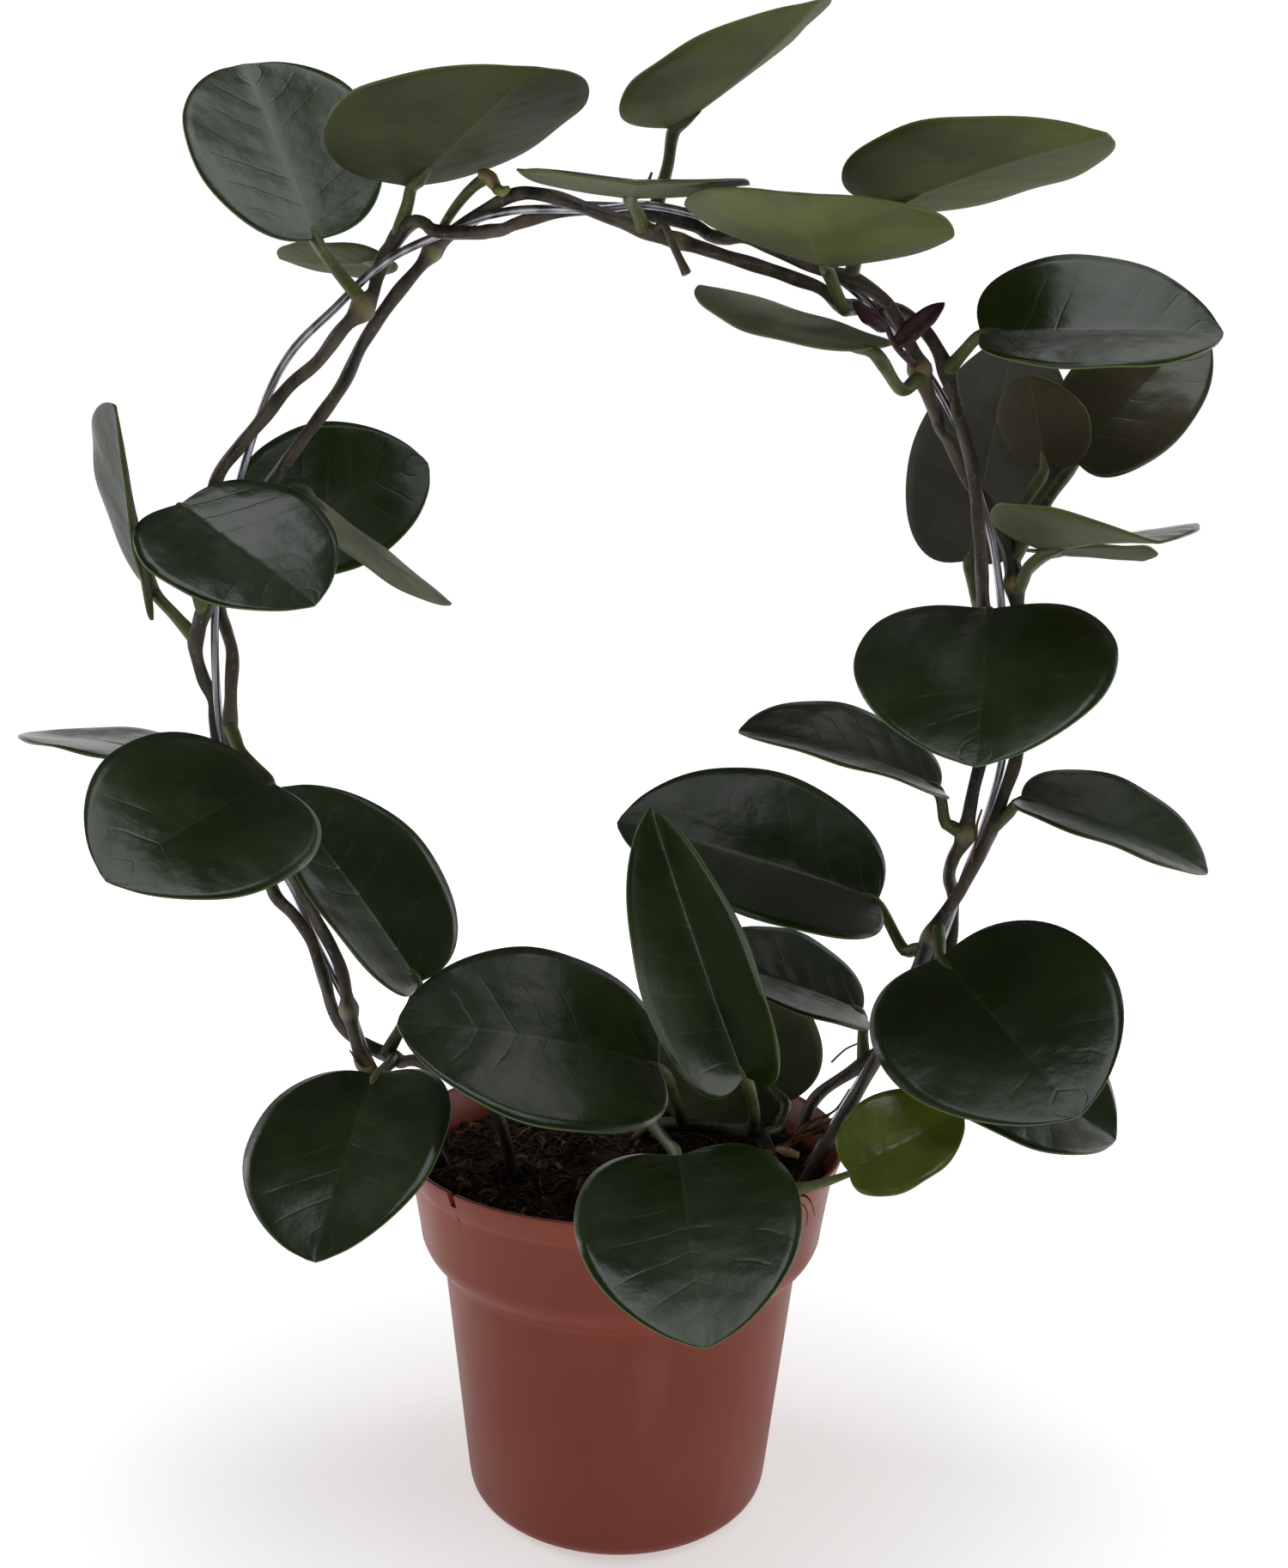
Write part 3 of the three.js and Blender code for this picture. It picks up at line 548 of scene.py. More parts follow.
# %% Drawn wire
def wire_finish():
    """Plain steel wire with fine upright streaks."""
    f = Finish("hoop_wire", Metallic=1.0)
    drawn = f.noise(260, 4, (1, 1, 0.2))
    color = f.mix(f.ramp(drawn, 0.35, 0.7), (0.16, 0.16, 0.18, 1), (0.42, 0.42, 0.46, 1))
    f.bump(drawn, 0.2, 0.0002)
    return f.done(color, f.ramp(drawn, 0.3, 0.7, 0.25, 0.42))


WIRE = wire_finish()
print("wire finish:", WIRE.name)

# %% [markdown]
# ## The shape of a leaf
# A hoya leaf is a thick waxy oval with a shallow notch where the stalk joins and a tiny point at
# the far end. It could be sculpted, but 34 leaves need one formula that takes each leaf's facts. A
# sine raised to a power gives the oval, two small terms give the notch and the point, a rounded
# V gives the fold along the midrib, and an arc gives the droop.

# %% The middle surface of a blade
# Widest a little nearer the stalk than the tip; a smaller ROUNDNESS makes a blunter oval.
WIDEST_SHIFT = 0.9
ROUNDNESS = 0.44
# How far the lobes by the stalk, the narrow end and the tiny tip reach, as shares of the length.
LOBE = 0.1
POINT = 0.04
TIP = 0.015
# The fold is rounded over this many millimetres at the midrib.
FOLD_EASE = 2


def unit(vector):
    return np.asarray(vector, dtype=float) / np.linalg.norm(vector)


def leaf_surface(leaf, u, v):
    """Points of the middle of the blade, each point's distance from the midrib, and the blade's up
    direction. u is 0 at the stalk and 1 at the tip, v runs from -1 to 1 across the blade."""
    base, tip, side, width, fold, bend = (np.asarray(q, dtype=float) for q in leaf[:6])
    along = unit(tip - base)
    side = unit(side - (side @ along) * along)
    up = np.cross(side, along)
    chord = np.linalg.norm(tip - base)
    wide = np.maximum(0, np.sin(np.pi * np.clip(u, 0, 1) ** WIDEST_SHIFT)) ** ROUNDNESS
    run = u + POINT * (u**20 - u) - LOBE * (1 - u) ** 3 * wide * v * v + TIP * u**400
    fold = np.radians(fold)
    across = v * wide * width / 2
    rise = np.hypot(across * np.sin(fold), FOLD_EASE * np.sin(fold)) - FOLD_EASE * np.sin(fold)
    bend = np.radians(bend)
    radius = chord / 2 / np.sin(bend / 2)
    turn = bend * (run - 0.5)
    forward = (radius + rise) * np.sin(turn) + radius * np.sin(bend / 2)
    lift = (radius + rise) * np.cos(turn) - radius * np.cos(bend / 2)
    sideways = across * np.cos(fold)
    place = base + forward[..., None] * along + sideways[..., None] * side + lift[..., None] * up
    return place, across, up


ends = leaf_surface(LEAVES["24"], np.array([0.0, 1.0]), np.zeros(2))[0]
print("length of leaf 24 in mm:", round(np.linalg.norm(ends[1] - ends[0]), 1))

# %% [markdown]
# ## Thickness and relief
# The plain solids are even sheets. A real blade thins at its margin, has a groove over the midrib
# and a keel under it, sinks a little over the side veins, and waves slightly at its edge. Modifiers
# can thicken a sheet evenly, but not like this, so the upper and the under face are two grids at
# their own height over the middle surface. The grid is finer along the midrib, for the groove and
# the keel, and at both ends, where the outline turns most.

# %% The grid of a blade, and its direction out of the surface
ROWS = 44
COLUMNS = 32
STEP_ALONG = 0.004
STEP_ACROSS = 0.01
END_MARGIN = 0.01


def blade_grid(leaf, rows, columns):
    """u and v of the grid, its points, their distance from the midrib, and their normals."""
    s = np.linspace(-1, 1, columns + 1)
    u, v = np.meshgrid((1 - np.cos(np.linspace(0, np.pi, rows + 1))) / 2, 0.5 * s + 0.5 * s**3,
                       indexing="ij")
    middle, across, _ = leaf_surface(leaf, u, v)
    inner = np.clip(u, END_MARGIN, 1 - END_MARGIN)
    ahead, behind = (leaf_surface(leaf, inner + step, v)[0] for step in (STEP_ALONG, -STEP_ALONG))
    right, left = (leaf_surface(leaf, inner, v + step)[0] for step in (STEP_ACROSS, -STEP_ACROSS))
    normal = np.cross(right - left, ahead - behind)
    normal /= np.linalg.norm(normal, axis=-1)[..., None] + 1e-12
    return u, v, middle, across, normal


print("grid points on each face of a blade:", blade_grid(LEAVES["24"], ROWS, COLUMNS)[0].size)

# %% Heights of the two faces
# All in millimetres, apart from the number of waves along an edge.
HALF_THICK = 0.6
WAVE = 0.2
EDGE_WAVE = 0.35
EDGE_WAVES = 2.3
GROOVE, GROOVE_REACH = 0.13, 0.9
KEEL, KEEL_REACH = 0.5, 1.2
TOP_VEIN_DEPTH = 0.05
UNDER_VEIN_DEPTH = 0.04


def blade_relief(u, v, across, shift):
    """Heights over the middle surface of the rim, the upper face and the under face. shift holds
    six random angles that make every leaf's waves its own."""
    inner = np.clip(u, END_MARGIN, 1 - END_MARGIN)
    calm_ends = np.sin(np.pi * inner)
    out = np.abs(v)
    wave = np.zeros_like(u)
    for k in range(4):
        wave += np.sin((3 + 2 * k) * u * (1 + 0.2 * k) + (2 + k) * v + shift[k]) / (k + 1.5)
    edge_wave = EDGE_WAVE * out**3 * np.sin(2 * np.pi * EDGE_WAVES * u + shift[4] + 2 * v)
    shared = (WAVE * wave + edge_wave) * calm_ends
    veins = np.maximum(0, np.cos(2 * np.pi * (VEIN_PAIRS * u - VEIN_SLANT * out) + shift[5])) ** 6
    veins *= (1 - out**4) * calm_ends**0.5
    half = HALF_THICK * (1 - 0.6 * out**6) * (1 - 0.5 * np.abs(2 * inner - 1) ** 8)
    groove = GROOVE * np.exp(-((across / GROOVE_REACH) ** 2)) * (1 - 0.6 * u)
    keel = KEEL * np.exp(-((across / KEEL_REACH) ** 2)) * (1 - 0.85 * u)
    top = shared + half - groove - TOP_VEIN_DEPTH * veins
    under = shared - half - keel - UNDER_VEIN_DEPTH * veins
    return shared, top, under


print("thickness in the middle of a blade, in mm:", 2 * HALF_THICK)

# %% Faces of a blade
TOP, UNDER, STEM = 0, 1, 2


def blade_faces(rows, columns):
    """Faces over three grids of points, which are top, under and rim, and the side of each face."""
    count = (rows + 1) * (columns + 1)
    grid = np.arange(count).reshape(rows + 1, columns + 1)
    faces, sides = [], []
    for i in range(rows):
        for j in range(columns):
            a, b, c, d = grid[i, j], grid[i, j + 1], grid[i + 1, j + 1], grid[i + 1, j]
            faces += [(a, b, c, d), (a + count, d + count, c + count, b + count)]
            sides += [TOP, UNDER]
        for j, flip in ((0, False), (columns, True)):
            a, d = grid[i, j], grid[i + 1, j]
            rim_a, rim_d = a + 2 * count, d + 2 * count
            upper, lower = (a, d, rim_d, rim_a), (rim_a, rim_d, d + count, a + count)
            for face, side in ((upper, TOP), (lower, UNDER)):
                faces.append(face[::-1] if flip else face)
                sides.append(side)
    return faces, sides


def blade(leaf, seed, rows=ROWS, columns=COLUMNS):
    """Points, faces, side of each face and uv of one blade. The points are three equal blocks."""
    rng = np.random.default_rng(seed)
    u, v, middle, across, normal = blade_grid(leaf, rows, columns)
    shared, top, under = blade_relief(u, v, across, rng.uniform(0, 2 * np.pi, 6))
    points = np.vstack([(middle + height[..., None] * normal).reshape(-1, 3)
                        for height in (top, under, shared)])
    faces, sides = blade_faces(rows, columns)
    uv = np.tile(np.stack([u.ravel(), (v.ravel() + 1) / 2], axis=1), (3, 1))
    return points, faces, sides, uv


print("faces of one blade before its ends are closed:", len(blade_faces(ROWS, COLUMNS)[0]))


# %% [markdown]
# ## Close the ends
# At the stalk and at the tip a whole row of the grid has shrunk to one point, which leaves faces
# with no area. Merging by distance would lose the values that belong to each point, so
# the arrays are merged here: points that share a place become one, and a face that keeps fewer
# than three corners is dropped.

# %% Merge points that lie on each other
SAME_PLACE = 1e-3


def weld(points, faces, sides, *values):
    """Merged points, the faces left, their sides, and each list of values for the points left."""
    key = np.round(points / SAME_PLACE).astype(np.int64)
    _, first, back = np.unique(key, axis=0, return_index=True, return_inverse=True)
    back = back.ravel()
    kept, kept_sides = [], []
    for face, side in zip(faces, sides):
        ring = tuple(dict.fromkeys(int(back[corner]) for corner in face))
        if len(ring) > 2:
            kept.append(ring)
            kept_sides.append(side)
    return points[first], kept, kept_sides, *(rows[first] for rows in values)


test = blade(LEAVES["24"], 24)
print("points of leaf 24, before and after:", len(test[0]), len(weld(*test)[0]))

# %% [markdown]
# ## Stalks
# A stalk is thickest where it leaves the vine, has a slight swelling under the blade, and runs out
# to nothing along the midrib, which it becomes. It is a bar with those three changes in its
# radius, from the middle of the vine to a fifth of the way along the under face.

# %% A leaf's stalk
STALK_RADIUS = 1.55
STALK_STEP = 1.5
LEAVING_VINE = 4.4


def vine_point(name, node):
    """The point of a vine's middle that is nearest to a node."""
    path = curve_through(VINES[name], 0.5)
    return path[np.argmin(np.linalg.norm(path - np.array(node), axis=1))]


def stalk(leaf):
    """A leaf's stalk: swollen where it leaves the vine, and running out under the midrib."""
    seat = vine_point(leaf.vine, leaf.node)
    first = unit(np.array(leaf.via, float) - seat)
    spots, _, up = leaf_surface(leaf, np.array([0.0, 0.09, 0.2]), np.zeros(3))
    under = spots - np.array([[0.9], [0.9], [0.6]]) * up
    path = curve_through([seat, seat + LEAVING_VINE * first, leaf.via, *under], STALK_STEP,
                         centripetal=True)
    # t is 0 in the middle of the vine and 1 where the stalk has become the midrib.
    t = np.linspace(0, 1, len(path))
    foot = 0.45 * np.exp(-((t / 0.22) ** 2))
    collar = 0.3 * np.exp(-(((t - 0.66) / 0.1) ** 2))
    taper = np.interp(t, [0, 0.72, 1], [1, 0.95, 0.35])
    return bar(path, (STALK_RADIUS + foot + collar) * taper)


print("points of the stalk of leaf 24:", len(stalk(LEAVES["24"])[0]))

# %% [markdown]
# ## The colour of each leaf
# Most leaves are near black-green above and olive below. A few differ: two young ones on the right
# are bronze, one low on the right is yellow-green, and some under faces are grey. The pale grey
# under face of leaf 18 is painted sheen. Two leaves show their paler face on the side that their
# facts call the upper one, so their faces trade places.

# %% Colours of leaf faces, upper and under
DARK = (0.012, 0.023, 0.003)
GREEN = (DARK, (0.072, 0.082, 0.027))
BRONZE = ((0.04, 0.035, 0.018), (0.042, 0.035, 0.018))
LEAF_COLORS = {
    "08": (DARK, (0.25, 0.26, 0.18)),
    "10": BRONZE,
    "11": BRONZE,
    "12": (DARK, (0.055, 0.05, 0.038)),
    # Leaf 18: a pale grey under face, which is painted sheen.
    "18": (DARK, (0.125, 0.13, 0.085)),
    "28": (DARK, (0.065, 0.07, 0.037)),
    "31": ((0.085, 0.11, 0.01), (0.1, 0.13, 0.03)),
}
# Share of the usual tone, by leaf. Leaf 02 is a darker leaf of its own; the lower tone of leaves
# 12 and 14, which lie behind other leaves, is painted shade.
LEAF_TONE_AND_SHADE = {"02": 0.5, "03": 1.4, "07": 0.8, "12": 0.8, "13": 0.8, "14": 0.5, "15": 0.5}
TONE_SPREAD = (0.85, 1.18)
TURNED_OVER = ("08", "12")


def leaf_tints(number):
    """The colours of a leaf's upper face, under face and rim."""
    rng = np.random.default_rng(100 + int(number))
    # For leaves 12 and 14 this tone is painted shade.
    tone = LEAF_TONE_AND_SHADE.get(number, 1)
    top, under = (np.array(color) * tone * rng.uniform(*TONE_SPREAD)
                  for color in LEAF_COLORS.get(number, GREEN))
    if number in TURNED_OVER:
        top, under = under, top
    return [top, under, (top + under) / 2]


print("upper face of leaf 24:", leaf_tints("24")[0].round(3))


def make_leaf(number, leaf):
    """A blade and its stalk as one piece. The stalk's finish reads no uv and no tint."""
    points, faces, sides, uv = blade(leaf, int(number))
    tint = np.repeat(leaf_tints(number), len(points) // 3, axis=0)
    points, faces, sides, uv, tint = weld(points, faces, sides, uv, tint)
    if number in TURNED_OVER:
        sides = [UNDER if side == TOP else TOP for side in sides]
    stem_points, stem_faces = stalk(leaf)
    points, faces = join([(points, faces), (stem_points, stem_faces)])
    sides = sides + [STEM] * len(stem_faces)
    uv = np.vstack([uv, np.full((len(stem_points), 2), 0.5)])
    tint = np.vstack([tint, np.full((len(stem_points), 3), 0.1)])
    finishes = [*LEAF_FINISH[LEAF_SHEEN.get(number, 1)], STALK]
    piece = add_piece("blade_" + number, points, faces, finishes, sides, uv, tint)
    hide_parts("leaf_" + number)
    return piece


leaf_pieces = [make_leaf(number, leaf) for number, leaf in LEAVES.items()]
print("leaves made:", len(leaf_pieces))

# %% [markdown]
# ## Vines and hoop
# A vine isn't an even bar. It swells at each node, where a leaf sits, its bark is slightly ribbed,
# and here and there a thick knob carries a scar. All of these are changes of radius along one
# route, so each vine stays one bar. The hoop is plain drawn wire.

# %% Vines with swollen nodes
# Each knob has its vine, its place and its height.
KNOBS = [
    ("b", (-69, -3, 315), 1.3), ("a", (-52, 4, 331), 1.0), ("a", (-74, -4, 134), 1.2),
    ("a", (-69, -6, 120), 0.8), ("b", (71, -4, 303), 1.1), ("b", (99, 0, 250), 0.8),
    ("a", (88, -4, 185), 0.9), ("b", (81, -4, 157), 0.9), ("a", (10, -4, 333), 0.6),
]
KNOB_REACH = 2.6
VINE_RADIUS = 1.62
VINE_STEP = 1.5
VINE_SIDES = 18
BARK_RIDGE = 0.11
SWELLING = 0.5
SWELLING_REACH = 4


def away_from(route, name, place, reach):
    """Each route point's distance from a place on the vine, in units of reach."""
    return np.linalg.norm(route - vine_point(name, place), axis=1) / reach


def vine(name):
    """A vine's points and faces, and how much of a scar each point shows."""
    route = curve_through(VINES[name], VINE_STEP)
    rng = np.random.default_rng(ord(name))
    swell, scar, knobs = np.zeros((3, len(route)))
    for leaf in LEAVES.values():
        if leaf.vine == name:
            near = away_from(route, name, leaf.node, SWELLING_REACH)
            swell = np.maximum(swell, np.exp(-(near**2)))
    for which, place, height in KNOBS:
        if which == name:
            near = away_from(route, name, place, KNOB_REACH)
            knobs += height * np.exp(-(near**2))
            scar = np.maximum(scar, np.exp(-((near * 1.5) ** 4)))
    distance = np.arange(len(route)) * VINE_STEP
    ripple = 0.08 * np.sin(distance * 0.5 + rng.uniform(0, 6)) + 0.06 * np.sin(distance * 0.23)
    radius = VINE_RADIUS + ripple + SWELLING * swell + knobs
    points, faces = bar(route, radius, VINE_SIDES, BARK_RIDGE)
    return points, faces, np.repeat(scar, VINE_SIDES)


for name in VINES:
    points, faces, scar = vine(name)
    piece = add_piece("stem_" + name, points, faces, [BARK])
    layer = piece.data.attributes.new(name="scar", type="FLOAT", domain="POINT")
    layer.data.foreach_set("value", scar)
    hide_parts("vine_" + name)
    print("points of vine", name + ":", len(points))

# %% The wire hoop
HOOP_RADIUS = 1.05
hoop = add_piece("wire_hoop", *bar(curve_through(HOOP_ROUTE, 2), HOOP_RADIUS, 16), [WIRE])
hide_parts("hoop")
print("points of the hoop:", len(hoop.data.vertices))

# %% [markdown]
# ## Side stems
# Two short flower stalks and a young purple shoot grow from the vines near the top. Each is a thin
# bar that starts in the middle of its vine. The shoot ends in two leaflets, which are blades with
# a coarser grid, because they are under 15 mm long.

# %% Flower stalks
def side_stem(vine_name, node, path, start, end):
    """A thin bar from a vine along a path, with its radius at the start and near the end."""
    seat = vine_point(vine_name, node)
    route = curve_through([seat] + path, 1, centripetal=True)
    t = np.linspace(0, 1, len(route))
    return bar(route, np.interp(t, [0, 0.8, 1], [start, end, end * 1.25]), 10)


left = side_stem("a", (-51, 4, 332), [(-50, 7, 337), (-46, 4, 342), (-41, 0, 346),
                                      (-37, -2, 348)], 1.05, 1.35)
top = side_stem("a", (4, -4, 335), [(6, -9, 336), (9, -10, 330), (12, -11, 324)], 0.9, 1)
for name, shape, finish in (("flower_stalk_left", left, STALK), ("flower_stalk_top", top, BARK)):
    piece = add_piece("spur_" + name, *shape, [finish])
    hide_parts(name)
    print("points of", name + ":", len(shape[0]))

# %% The young shoot
LEAFLETS = [
    Leaf((64, -10, 308), (75, -12, 318), (0.6, -0.5, -0.6), 6, 20, 10),
    Leaf((62, -9, 312), (53, -11, 318), (-0.2, -0.7, 0.7), 5, 20, 10),
]
LEAFLET_ROWS = 16
LEAFLET_COLUMNS = 10
shoot_parts = [side_stem("b", (71, -4, 304), [(67, -10, 305), (64, -10, 308), (62, -9, 312),
                                              (60, -9, 317)], 1.1, 0.75)]
for number, leaflet in enumerate(LEAFLETS):
    points, faces, sides, _ = blade(leaflet, 70 + number, LEAFLET_ROWS, LEAFLET_COLUMNS)
    shoot_parts.append(weld(points, faces, sides)[:2])
piece = add_piece("shoot_young", *join(shoot_parts), [SHOOT])
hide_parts("young_shoot")
print("leaflets on the shoot:", len(LEAFLETS))

# %% [markdown]
# ## Small marks of growth
# A tan knob with a green bud ends the left flower stalk. A cut stub and a pale knob lie low beside
# the front stems, torn strips of bark follow the right leg of the hoop into the filling, and thin
# roots hang over the lip. All are short ribbed bars with their own radius at both ends and in the
# middle.

# %% Knobs, torn strips and roots
TAN = stem_finish("scar_tan", (0.1, 0.06, 0.025, 1), (0.26, 0.18, 0.09, 1), 0.75, 330)
RUST = stem_finish("torn_bark", (0.04, 0.018, 0.008, 1), (0.17, 0.075, 0.028, 1), 0.7, 260)
BUD = stem_finish("bud_green", (0.1, 0.12, 0.03, 1), (0.2, 0.22, 0.07, 1), 0.5, 330)
# Each has a name, a finish, a slot, and strands: the radius at the start, end and middle, and a path.
GROWTH = [
    ("knob_tan", TAN, "vine_bark", [
        ((1.1, 1.1, 1.9), [(-40, -2, 348), (-38, -2, 348), (-36, -2, 346), (-35, -2, 344)]),
        ((0.6, 0.9, 1.3), [(40, -20, 104), (43, -20, 103), (46, -20, 102)]),
        ((0.7, 0.7, 1.2), [(42, -48, 106), (43, -48, 105), (45, -48, 105)]),
        ((0.4, 0.3, 0.5), [(2, -1, 344), (2, 0, 347), (3, 0, 350)]),
    ]),
    ("bud_left", BUD, "stalk_green", [
        ((0.9, 0.6, 1.5), [(-36, -3, 345), (-34, -3, 344), (-32, -3, 345)]),
    ]),
    ("strips_torn", RUST, "coir", [
        ((0.3, 0.3, 0.8), [(68, 2, 118), (66, 3, 114), (62, 2, 108), (58, 2, 104), (52, 2, 101),
                           (44, 2, 99)]),
        ((0.2, 0.3, 0.7), [(64, 0, 116), (61, 0, 111), (60, 0, 106), (53, 0, 101), (46, 0, 98),
                           (40, -2, 95)]),
        ((0.2, 0.2, 0.5), [(62, 4, 112), (58, 3, 106), (50, 0, 103), (44, -4, 98), (36, -8, 94)]),
        ((0.2, 0.2, 0.4), [(57, 5, 104), (50, 4, 99), (42, 0, 96), (34, -3, 94)]),
        ((0.15, 0.15, 0.3), [(56, 1, 101), (49, -3, 100), (41, -6, 97), (33, -6, 93)]),
        ((0.2, 0.15, 0.4), [(-73, -7, 124), (-69, -9, 120), (-66, -9, 121)]),
    ]),
    ("roots_thin", RUST, "coir", [
        ((0.3, 0.12, 0.3), [(42, -47, 103), (45, -50, 104), (46, -51, 103), (47, -52, 100)]),
        ((0.2, 0.1, 0.2), [(40, -46, 101), (44, -50, 102), (45, -52, 101), (45, -53, 98)]),
        ((0.3, 0.25, 0.3), [(58, 14, 116), (62, 14, 120), (66, 14, 122)]),
        ((0.25, 0.2, 0.25), [(-20, -36, 91), (-19, -40, 98), (-15, -45, 95), (-13, -50, 91)]),
        ((0.2, 0.1, 0.2), [(-21, -38, 91), (-18, -43, 96), (-12, -50, 92)]),
        ((0.3, 0.25, 0.35), [(92, -6, 192), (91, -6, 188), (91, -6, 184), (90, -6, 178)]),
    ]),
]
STRAND_STEP = 0.7
STRAND_SIDES = 9
STRAND_RIDGE = 0.12


def strand(radii, path):
    start, end, middle = radii
    route = curve_through(path, STRAND_STEP, centripetal=True)
    t = np.linspace(0, 1, len(route))
    return bar(route, np.interp(t, [0, 0.5, 1], [start, middle, end]), STRAND_SIDES, STRAND_RIDGE)


for name, finish, slot, strands in GROWTH:
    piece = add_piece(name, *join([strand(*facts) for facts in strands]), [finish])
    print("strands of", name + ":", len(strands))

# %% [markdown]
# ## The pot
# The pot is one moulding: turned round its axis, with a rolled lip over a wide band that ends in a
# rounded step. A profile turned by a formula is exact and quick. Moulded plastic has no sharp
# corner, so every corner of the profile is cut back by about a millimetre and rounded.

# %% Pot profile with softened corners
# Distance from the axis and height, from the base up the outside and down the inside.
POT_OUTSIDE = [
    (0, 0), (36.5, 0), (39.3, 1), (40.8, 2.9), (41.3, 5.5), (48.2, 66), (48.8, 67.3),
    (50.8, 68.8), (53.2, 71.8), (54.4, 74.6), (54.7, 77.4), (57.2, 92.7), (57.8, 93.2),
    (59.7, 98.6), (60, 100),
]
POT_INSIDE = [
    (58.6, 100), (56.2, 92.7), (53.3, 76.4), (46.8, 68.2), (39.9, 6.5), (36.5, 2), (0, 2),
]
CORNER_CUT = 1.2
POT_SIDES = 160


def soften(profile, reach):
    """Cuts every corner of a profile back by up to reach, with a point in the middle."""
    points = [np.array(p, dtype=float) for p in profile]
    result = [points[0]]
    for before, corner, after in zip(points, points[1:], points[2:]):
        first = corner + unit(before - corner) * min(reach, np.linalg.norm(before - corner) * 0.4)
        last = corner + unit(after - corner) * min(reach, np.linalg.norm(after - corner) * 0.4)
        result += [first, 0.25 * first + 0.5 * corner + 0.25 * last, last]
    return result + [points[-1]]


def turned(profile, segments):
    """Points and faces of a shape turned round the vertical axis. Its ends lie on the axis."""
    profile = np.array(profile)
    angle = np.arange(segments) * 2 * math.pi / segments
    ring = profile[1:-1]
    points = [(0, 0, profile[0][1])]
    for r, z in ring:
        points += [(r * math.cos(a), r * math.sin(a), z) for a in angle]
    points.append((0, 0, profile[-1][1]))
    faces = []
    for j in range(segments):
        k = (j + 1) % segments
        faces.append((0, 1 + k, 1 + j))
        for i in range(len(ring) - 1):
            a, b = 1 + i * segments, 1 + (i + 1) * segments
            faces.append((a + j, a + k, b + k, b + j))
        last = 1 + (len(ring) - 1) * segments
        faces.append((last + j, last + k, len(points) - 1))
    return np.array(points), faces


pot_profile = soften(POT_OUTSIDE + POT_INSIDE, CORNER_CUT)
print("points of the pot's profile:", len(pot_profile))

# %% [markdown]
# ## Openings in the pot
# A slot is cut in the lip at the front left, a fine parting line runs down from it, and six drain
# holes ring the middle of the base. A Boolean cut makes each of them from a simple closed shape.
# The cutter is taken away at once, so the pot ends as a plain mesh.

# %% Cutting tools
def box_cutter(size, centre, angle):
    """Points and faces of a box that is turned round the pot's axis by the angle."""
    corners = np.array([(x, y, z) for z in (-1, 1) for y in (-1, 1) for x in (-1, 1)]) / 2.0
    turn = np.array([[math.cos(angle), -math.sin(angle), 0],
                     [math.sin(angle), math.cos(angle), 0],
                     [0, 0, 1]])
    faces = [(0, 2, 3, 1), (4, 5, 7, 6), (0, 1, 5, 4), (1, 3, 7, 5), (3, 2, 6, 7), (2, 0, 4, 6)]
    return (corners * size + centre) @ turn.T, faces


def cut_from(piece, points, faces):
    """Subtracts one closed shape, and leaves a plain mesh."""
    mesh = bpy.data.meshes.new("cutter")
    mesh.from_pydata((points * MM).tolist(), [], faces)
    tool = bpy.data.objects.new("cutter", mesh)
    bpy.context.collection.objects.link(tool)
    step = piece.modifiers.new("cut", "BOOLEAN")
    step.operation = "DIFFERENCE"
    step.object = tool
    step.solver = "EXACT"
    graph = bpy.context.evaluated_depsgraph_get()
    result = bpy.data.meshes.new_from_object(piece.evaluated_get(graph))
    piece.modifiers.clear()
    piece.data = result
    bpy.data.objects.remove(tool)


print("corners of a cutting box:", len(box_cutter((1, 1, 1), (0, 0, 0), 0)[0]))

# %% [markdown]
# ## Moulded plastic
# The pot is terracotta-coloured plastic: a cloudy red-brown with a satin face, rubbed a little
# paler in upright streaks, and with a grain that only shows up close.

# %% Finish of the pot
CLAY_DARK = (0.182, 0.033, 0.016, 1)
CLAY_LIGHT = (0.222, 0.045, 0.024, 1)
CLAY_RUBBED = (0.3, 0.1, 0.07, 1)


def pot_finish():
    """Cloudy satin plastic with rubbed streaks."""
    f = Finish("pot_plastic", Specular_IOR_Level=0.2)
    cloud = f.noise(16, 4)
    grain = f.noise(1400, 2)
    rub = f.noise(60, 5, (1, 1, 0.25))
    color = f.mix(f.ramp(cloud, 0.3, 0.7), CLAY_DARK, CLAY_LIGHT)
    color = f.mix(f.times(f.ramp(rub, 0.6, 0.8), 0.25), color, CLAY_RUBBED)
    f.bump(f.plus(f.times(grain, 0.5), cloud), 0.12, 0.0003)
    return f.done(color, f.ramp(rub, 0.3, 0.7, 0.36, 0.5))


POT_PLASTIC = pot_finish()
print("pot finish:", POT_PLASTIC.name)

# %% Make the pot
SLOT_ANGLE = math.radians(-134)
DRAIN_COUNT = 6
DRAIN_RING = 24
DRAIN_RADIUS = 3.6
DRAIN_SIDES = 24
SHARP_ANGLE = math.radians(40)

pot = add_piece("grower_pot", *turned(pot_profile, POT_SIDES), [POT_PLASTIC])
cutters = [
    box_cutter((12, 2.4, 8), (59, 0, 100), SLOT_ANGLE),
    box_cutter((1, 0.5, 22), (57.4, 0, 86), SLOT_ANGLE),
]
for i in range(DRAIN_COUNT):
    angle = 2 * math.pi * (i + 0.5) / DRAIN_COUNT
    x, y = DRAIN_RING * math.cos(angle), DRAIN_RING * math.sin(angle)
    cutters.append(bar([(x, y, -3), (x, y, 5)], DRAIN_RADIUS, DRAIN_SIDES))
for cutter in cutters:
    cut_from(pot, *cutter)
pot.data.set_sharp_from_angle(angle=SHARP_ANGLE)
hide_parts("pot")
print("pot faces:", len(pot.data.polygons))

# %% [markdown]
# ## Coir
# The filling is brown coir: crumbs and short fibres in every direction. Its surface is a bumpy
# disc from a formula, finely divided so that the lumps are real shape. Below it a plain body
# fills the pot.

